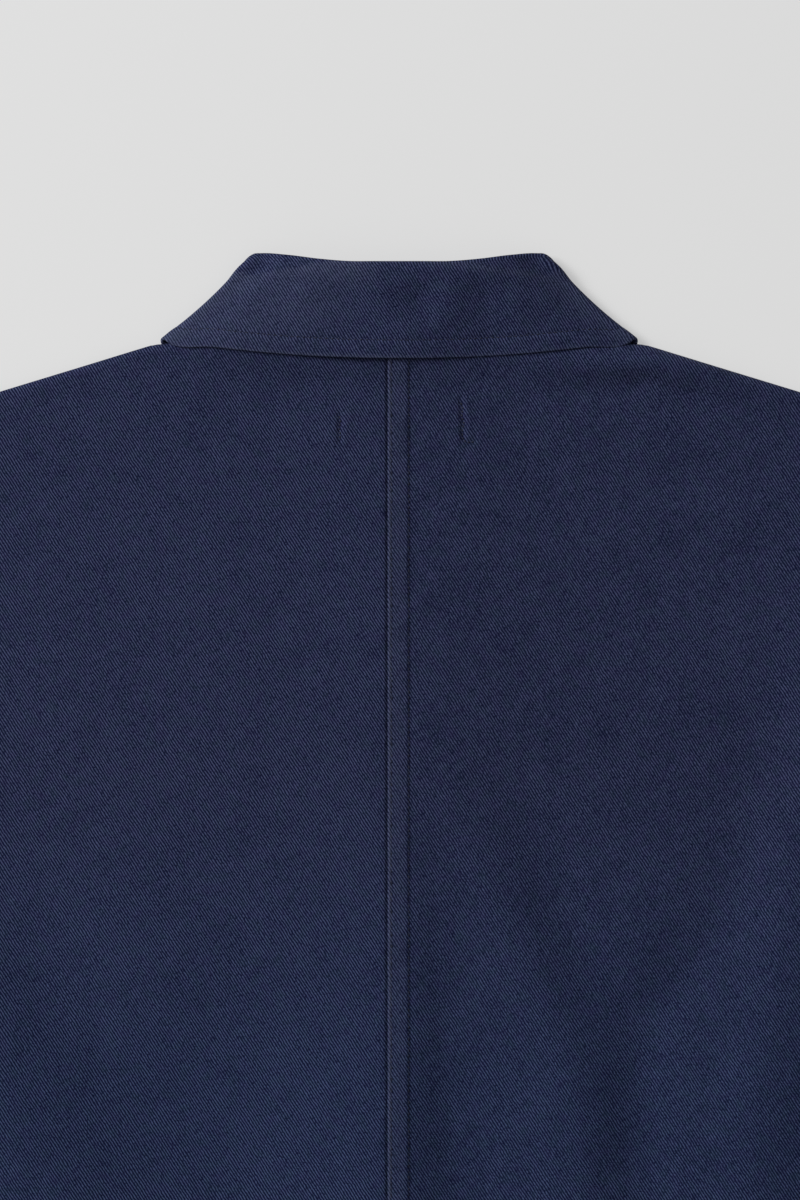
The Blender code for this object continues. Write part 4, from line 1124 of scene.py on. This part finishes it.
for name, sizes in pockets.items():
    cloth = pocketPieces[name]
    for inset in patch["rows"]:
        sew(f"{name}_stitches", name, sewnRow(cloth, pocketRow(sizes, inset), -1))
    hem = sizes["top"] - patch["hem"] + patch["hemRow"]
    sew(f"{name}_stitches", name, sewnRow(cloth, [(sizes["inner"] + 2, hem), (sizes["outer"] - 2, hem)], -1))
    for x in (sizes["inner"] + 4.7, sizes["outer"] - 4.7):
        tack = barTack(cloth, (x - 2.8, sizes["top"] - 3), (x + 2.8, sizes["top"] - 3), 2.4, -1)
        sew(f"{name}_stitches", name, tack)
outerX, innerX = buttonhole["ends"]
tackX, tackHalf, tackWidth = buttonhole["tack"]
for y in buttonYs:
    cloth = fronts["front_left"]
    for edgeY in (y - buttonhole["half"], y + buttonhole["half"]):
        edge = barTack(cloth, (outerX, edgeY), (innerX, edgeY), buttonhole["edgeWidth"], -1)
        sew("buttonhole_stitches", "front_left", edge)
    tack = barTack(cloth, (tackX, y + tackHalf), (tackX, y - tackHalf), tackWidth, -1)
    sew("buttonhole_stitches", "front_left", tack)
for side, line in labelTacks.items():
    sew(f"label_tack_{side}", f"back_{side}", sewnRow(backs[f"back_{side}"], line, 1, **labelThread))


def collarLine(track, level):  # through the first places up each column of a grid where it passes level
    places = []
    for column in range(track.shape[1]):
        passed = np.flatnonzero(track[:, column] > level)
        if len(passed) and passed[-1] + 1 < len(track):
            row = passed[-1]
            high, low = track[row, column], track[row + 1, column]
            places.append((row + (high - level) / (high - low), column))
    return np.array(places)


def onCollar(places):  # places are (row, column) with parts of a row or column
    found = []
    for grid in (collarPoints + collarNormals * (jacket["collarCloth"] / 2 + 0.02), collarNormals):
        low = np.minimum(places.astype(int), np.array(grid.shape[:2]) - 2)
        part = (places - low)[..., None]
        rows, columns = low.T
        near = grid[rows, columns] * (1 - part[:, 0]) + grid[rows + 1, columns] * part[:, 0]
        far = grid[rows, columns + 1] * (1 - part[:, 0]) + grid[rows + 1, columns + 1] * part[:, 0]
        found.append(near * (1 - part[:, 1]) + far * part[:, 1])
    found[0][:, 1] -= jacket["originY"]
    return found


def collarRow(places):  # a row of stitches on the collar
    line, normals = onCollar(places)
    steps = distancesAlong(line)
    middles = (np.arange(int(steps[-1] / stitch["pitch"])) + 0.5) * stitch["pitch"]
    starts, ends = (alongLine(line, middles + way * stitch["length"] / 2) for way in (-1, 1))
    ways = unit(np.stack([np.interp(middles, steps, track) for track in normals.T], -1))
    return [(start, end, way, stitch["radius"] + 0.04) for start, end, way in zip(starts, ends, ways)]


# along the edge, and straight up to the fold at each front end
edgeRow = collarLine(np.where(collarEnds < collar["stitch"], -1.0, collarInset), collar["stitch"])
sew("collar_stitches", "collar", collarRow(edgeRow))
sewingPieces = {name: sewingPiece(name, spots) for name, (_, spots) in sewing.items()}
print("sewn with", sum(len(spots) for _, spots in sewing.values()), "stitches")


button = {
    "radius": 10.0,
    "thick": 2.2,
    "rim": 2.1,
    "dish": (1.1, 0.55),  # width of the slope inside the rim, and its depth
    "bowl": (2.0, 0.12),  # the same of a last, faint slope inside that
    "bevel": 0.45,
    "hole": 0.95,
    "holeOut": 1.95,  # holes from the middle, each way
    "thread": 0.42,
}


def editLowestFace(piece):
    selectOnly(piece)
    bpy.ops.object.mode_set(mode="EDIT")
    bpy.ops.mesh.select_mode(type="FACE")
    bpy.ops.mesh.select_all(action="DESELECT")
    bpy.ops.object.mode_set(mode="OBJECT")
    face = min(piece.data.polygons, key=lambda f: (round(f.center.z, 6), -f.area))
    face.select = True
    bpy.ops.object.mode_set(mode="EDIT")


def buildButton(number, y):
    place = placed((0.0, y, button["thick"] / 2))
    bpy.ops.object.select_all(action="DESELECT")
    bpy.ops.mesh.primitive_cylinder_add(vertices=56, radius=button["radius"] * mm, depth=button["thick"] * mm,
                                        location=place)
    piece = bpy.context.object
    piece.name = piece.data.name = f"button_{number}_turned"
    bpy.ops.object.transform_apply(location=True, rotation=True, scale=True)
    editLowestFace(piece)
    bpy.ops.mesh.inset(thickness=button["rim"] * mm, depth=0)
    for width, depth in (button["dish"], button["bowl"]):
        bpy.ops.mesh.inset(thickness=width * mm, depth=0)
        bpy.ops.transform.translate(value=(0, 0, depth * mm))
    bpy.ops.object.mode_set(mode="OBJECT")
    applyModifier(piece, "BEVEL", width=button["bevel"] * mm, segments=3, limit_method="ANGLE",
                  angle_limit=math.radians(35))
    out = button["holeOut"]
    for holeX, holeY in ((-out, -out), (-out, out), (out, -out), (out, out)):
        bpy.ops.object.select_all(action="DESELECT")
        at = placed((holeX, y + holeY, button["thick"] / 2))
        bpy.ops.mesh.primitive_cylinder_add(vertices=18, radius=button["hole"] * mm, depth=8 * mm,
                                            location=at)
        cutter = bpy.context.object
        applyModifier(piece, "BOOLEAN", object=cutter, operation="DIFFERENCE", solver="EXACT")
        bpy.data.objects.remove(cutter)
    selectOnly(piece)
    bpy.ops.object.shade_smooth_by_angle(angle=math.radians(32))
    return piece


def buttonThreads():  # three strands through each pair of holes
    spots = []
    face = button["dish"][1] + button["bowl"][1]
    reach = np.array([0, button["holeOut"] + 0.35, 0])
    for y in buttonYs:
        for pairX in (-button["holeOut"], button["holeOut"]):
            for strand in (-0.45, 0.0, 0.45):
                middle = placed((pairX + strand, y, face - 0.1)) / mm
                spots.append((middle - reach, middle + reach, np.array([0, 0, -1.0]), button["thread"] / 1.6))
    return sewingPiece("button_threads", spots)


buttonPieces = {f"button_{n}": buildButton(n, y) for n, y in enumerate(buttonYs, start=1)}
threads = buttonThreads()
print("buttons made")


class Signal:  # a socket that can be added, multiplied and so on
    def __init__(self, finish, socket):
        self.finish, self.socket = finish, socket

    def maths(self, operation, *terms, clamp=False):
        settings = {"operation": operation, "use_clamp": clamp}
        return self.finish.node("ShaderNodeMath", settings, dict(enumerate(terms)))

    def __add__(self, other):
        return self.maths("ADD", self, other)

    def __sub__(self, other):
        return self.maths("SUBTRACT", self, other)

    def __rsub__(self, other):
        return self.maths("SUBTRACT", other, self)

    def __mul__(self, other):
        return self.maths("MULTIPLY", self, other)

    def __truediv__(self, other):
        return self.maths("DIVIDE", self, other)

    def __rtruediv__(self, other):
        return self.maths("DIVIDE", other, self)

    __radd__, __rmul__ = __add__, __mul__

    def sine(self):
        return self.maths("SINE", self)

    def clamped(self):
        return self.maths("ADD", self, 0.0, clamp=True)


class Finish:  # one material and its nodes
    def __init__(self, name):
        self.material = bpy.data.materials.new(name)
        self.material.use_nodes = True
        self.tree = self.material.node_tree
        self.shader = self.tree.nodes["Principled BSDF"]

    def node(self, kind, settings=None, inputs=None, output=0):
        made = self.tree.nodes.new(kind)
        for name, value in (settings or {}).items():
            setattr(made, name, value)
        for name, value in (inputs or {}).items():
            self.plug(made.inputs[name], value)
        return Signal(self, made.outputs[output])

    def plug(self, socket, value):
        if isinstance(value, Signal):
            self.tree.links.new(value.socket, socket)
        else:
            socket.default_value = value

    def surface(self, values):  # by the names of the shader's own sockets
        for name, value in values.items():
            self.plug(self.shader.inputs[name], value)

    def noise(self, vector, scale, detail=2.0, rough=0.5):
        inputs = {"Vector": vector, "Scale": scale, "Detail": detail, "Roughness": rough}
        return self.node("ShaderNodeTexNoise", None, inputs)

    def vector(self, x, y, z=0.0):
        return self.node("ShaderNodeCombineXYZ", None, {"X": x, "Y": y, "Z": z})

    def split(self, vector):
        first = self.node("ShaderNodeSeparateXYZ", None, {"Vector": vector})
        return [Signal(self, part) for part in first.socket.node.outputs]

    def mixed(self, share, first, second, blend="MIX"):
        settings = {"data_type": "RGBA", "blend_type": blend}
        # the colours are its seventh and eighth sockets and its third output
        return self.node("ShaderNodeMix", settings, {0: share, 6: first, 7: second}, 2)

    def bump(self, height, strength, distance):
        inputs = {"Height": height, "Strength": strength, "Distance": distance}
        return self.node("ShaderNodeBump", None, inputs)


twill = {
    "slant": math.radians(57),  # of the wales, from the weft
    "wale": 1.35,  # mm between wales
    "dark": (0.0010, 0.0026, 0.0215, 1.0),
    "light": (0.057, 0.070, 0.145, 1.0),
    # colour of rubbed cloth, also mixed in as painted highlight on the collar and the fell's folded edge
    "wornAndHighlight": (0.078, 0.090, 0.150, 1.0),
    "warmer": (0.024, 0.018, 0.072, 1.0),  # faint clouds of two other blues
    "cooler": (0.014, 0.032, 0.048, 1.0),
    "hemTint": (0.90, 1.05, 1.08, 1.0),  # the cloth is bluer towards the hem
}


def twillFinish(name):
    finish = Finish(name)
    u, v, _ = finish.split(finish.node("ShaderNodeUVMap", {"uv_map": "grain"}))
    flat = finish.vector(u, v)
    across = u * math.sin(twill["slant"]) + v * math.cos(twill["slant"])
    along = u * math.cos(twill["slant"]) - v * math.sin(twill["slant"])
    wander = finish.noise(flat, 0.13, 3.0) - 0.5
    jog = finish.noise(flat, 0.6, 2.0) - 0.5
    phase = (across + wander * 0.9 + jog * 0.35) * (math.tau / twill["wale"])
    wave = phase.sine() * 0.5 + 0.5
    dashes = finish.noise(finish.vector(across / 0.8, along / 1.2), 1.0, 1.0)
    yarn = finish.noise(finish.vector(u * 1.3, v * 0.22), 1.0, 2.0)
    weft = finish.noise(finish.vector(u * 0.2, v * 1.5), 1.0, 2.0)
    depth = finish.noise(finish.vector(u + 90, v), 0.045, 2.0) * 0.9 + 0.5
    onBody = (v * -0.05 - 1.0).clamped()  # from 20 to 40 mm below the neck, softer on its right half
    right = (u / 30 + 0.5).clamped()
    depth = depth * (onBody * (0.13 - right * 0.33) + 1.0)
    wale = (wave * (dashes * 1.5 + 0.1) - 0.42) * depth + 0.42 + (yarn - 0.5) * 0.6 + (weft - 0.5) * 0.5
    blotch = finish.noise(flat, 0.09, 3.0, 0.6)
    cloud = finish.noise(flat, 0.022, 2.0)
    share = wale * 1.85 + (blotch - 0.5) * 0.28 + (cloud - 0.5) * 0.2 + onBody * (right * 0.045 - 0.02)
    colour = finish.mixed((share - 0.56).clamped(), twill["dark"], twill["light"])
    tint = finish.noise(finish.vector(u + 40, v), 0.16, 2.0)
    colour = finish.mixed(((tint - 0.5) * 2.4).clamped() * 0.4, colour, twill["warmer"])
    colour = finish.mixed(((0.5 - tint) * 2.4).clamped() * 0.4, colour, twill["cooler"])
    lowDown = (v * -0.00625 - 1.5).clamped()  # from 240 to 400 mm below the neck
    colour = finish.mixed(lowDown, colour, twill["hemTint"], "MULTIPLY")
    # this attribute holds real wear on hems and edges, and painted highlight on the collar and the fell's
    # folded edge
    wearAndHighlight = finish.node("ShaderNodeAttribute", {"attribute_name": "wearAndHighlight"}, None, 2)
    wornAndHighlight = (wearAndHighlight * (wale * 1.5 + 0.1)).clamped() * 0.6
    fuzz = finish.noise(flat, 2.2, 2.0)
    slack = finish.noise(finish.vector(u * 0.8, v), 0.085, 2.0)
    finish.surface({
        "Base Color": finish.mixed(wornAndHighlight, colour, twill["wornAndHighlight"]),
        "Roughness": fuzz * 0.12 + 0.82,
        "Normal": finish.bump(wale * 0.16 + fuzz * 0.05 + slack * 1.1, 1.0, mm),
        "Specular IOR Level": 0.1,
        "Sheen Weight": 0.02,
        "Sheen Roughness": 0.6,
        "Sheen Tint": (0.6, 0.7, 1.0, 1.0),
    })
    return finish.material


# navy thread, kept darker than the cloth: painted shade of the stitches sunk into their dents
thread = {
    "dark": (0.003, 0.004, 0.014, 1.0),
    "light": (0.013, 0.017, 0.042, 1.0),
    "fibres": 1400.0,  # to the metre
}


def threadFinish(name):
    finish = Finish(name)
    place = finish.node("ShaderNodeTexCoord", None, None, 3)  # Object
    fibres = finish.noise(place, thread["fibres"], 2.0)
    finish.surface({
        "Base Color": finish.mixed(fibres, thread["dark"], thread["light"]),
        "Roughness": fibres * 0.2 + 0.5,
        "Normal": finish.bump(fibres, 0.5, 0.1 * mm),
        "Specular IOR Level": 0.3,
    })
    return finish.material


resin = {
    "dark": (0.006, 0.007, 0.015, 1.0),
    "light": (0.021, 0.024, 0.046, 1.0),
    "swirls": 260.0,  # to the metre
    "scuffs": 2600.0,
}


def resinFinish(name):
    finish = Finish(name)
    place = finish.node("ShaderNodeTexCoord", None, None, 3)  # Object
    swirls = finish.noise(place, resin["swirls"], 4.0, 0.65)
    scuffs = finish.noise(place, resin["scuffs"], 2.0)
    finish.surface({
        "Base Color": finish.mixed(swirls, resin["dark"], resin["light"]),
        "Roughness": swirls * 0.18 + scuffs * 0.14 + 0.2,
        "Normal": finish.bump(scuffs, 0.12, 0.05 * mm),
    })
    return finish.material


navyTwill = twillFinish("navy_twill_woven")
navyThread = threadFinish("navy_thread")
darkResin = resinFinish("dark_resin")
cloths = {**dict(sorted({**backs, **fronts}.items())), "collar": collarPiece, **sleeves, **pocketPieces}
for piece in [*sewingPieces.values(), threads]:
    piece.data.materials.append(navyThread)
    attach(piece, "root")
finishes = ((buttonPieces, darkResin, "button_resin"), (cloths, navyTwill, "navy_twill"))
for replacements, material, slotName in finishes:
    for node, piece in replacements.items():
        piece.data.materials.clear()
        piece.data.materials.append(material)
        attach(piece, "root")
        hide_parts(node)
# the sewing pieces that lie on each sheet
for node, piece in cloths.items():
    onIt = [sewingPieces[name] for name, (cloth, _) in sewing.items() if cloth == node]
print("cloth finished")


studio = {
    "floorSize": 8.0,
    "floorLevel": -0.0003,  # just under the lowest stitches
    "floor": (0.30, 0.30, 0.30, 1.0),  # the paper is also lit from below, so that shadows on it stay pale
    "floorGlow": 0.45,
    "sky": 0.30,
    "key": 216.0,
    "keySize": 2.0,
    "keyFrom": (-0.746, 0.363, 0.575),  # towards the light
    "keyDistance": 4.5,
    "frameHeight": 0.624,  # metres of the jacket in the picture's height
    "look": (0.0004, 0.2013, 0.008),
    "distance": 3.0,
}
bpy.ops.object.select_all(action="DESELECT")
bpy.ops.mesh.primitive_plane_add(size=studio["floorSize"], location=(0, 0, studio["floorLevel"]))
floor = bpy.context.object
floor.name = "studio_floor"
paper = Finish("studio_paper")
paper.surface({
    "Base Color": studio["floor"],
    "Roughness": 0.95,
    "Specular IOR Level": 0.1,
    "Emission Color": (1, 1, 1, 1),
    "Emission Strength": studio["floorGlow"],
})
floor.data.materials.append(paper.material)

world = bpy.data.worlds.new("studio")
bpy.context.scene.world = world
world.use_nodes = True
background = world.node_tree.nodes["Background"]
background.inputs["Color"].default_value = (1, 1, 1, 1)
background.inputs["Strength"].default_value = studio["sky"]

towardsKey = Vector(studio["keyFrom"])
bpy.ops.object.light_add(type="AREA", location=Vector(studio["look"]) + towardsKey * studio["keyDistance"])
key = bpy.context.object
key.name = "key_light"
key.data.energy = studio["key"]
key.data.size = studio["keySize"]
key.rotation_euler = towardsKey.to_track_quat("Z", "Y").to_euler()

lookX, lookY, lookZ = studio["look"]
bpy.ops.object.camera_add(location=(lookX, lookY, lookZ + studio["distance"]), rotation=(0, 0, 0))
camera = bpy.context.object
camera.name = "camera"
camera.data.sensor_width = 36
camera.data.sensor_fit = "AUTO"
camera.data.lens = 36 * studio["distance"] / studio["frameHeight"]
camera.data.clip_end = 50
bpy.context.scene.camera = camera
bpy.context.scene.view_settings.view_transform = "Standard"
print("studio set")
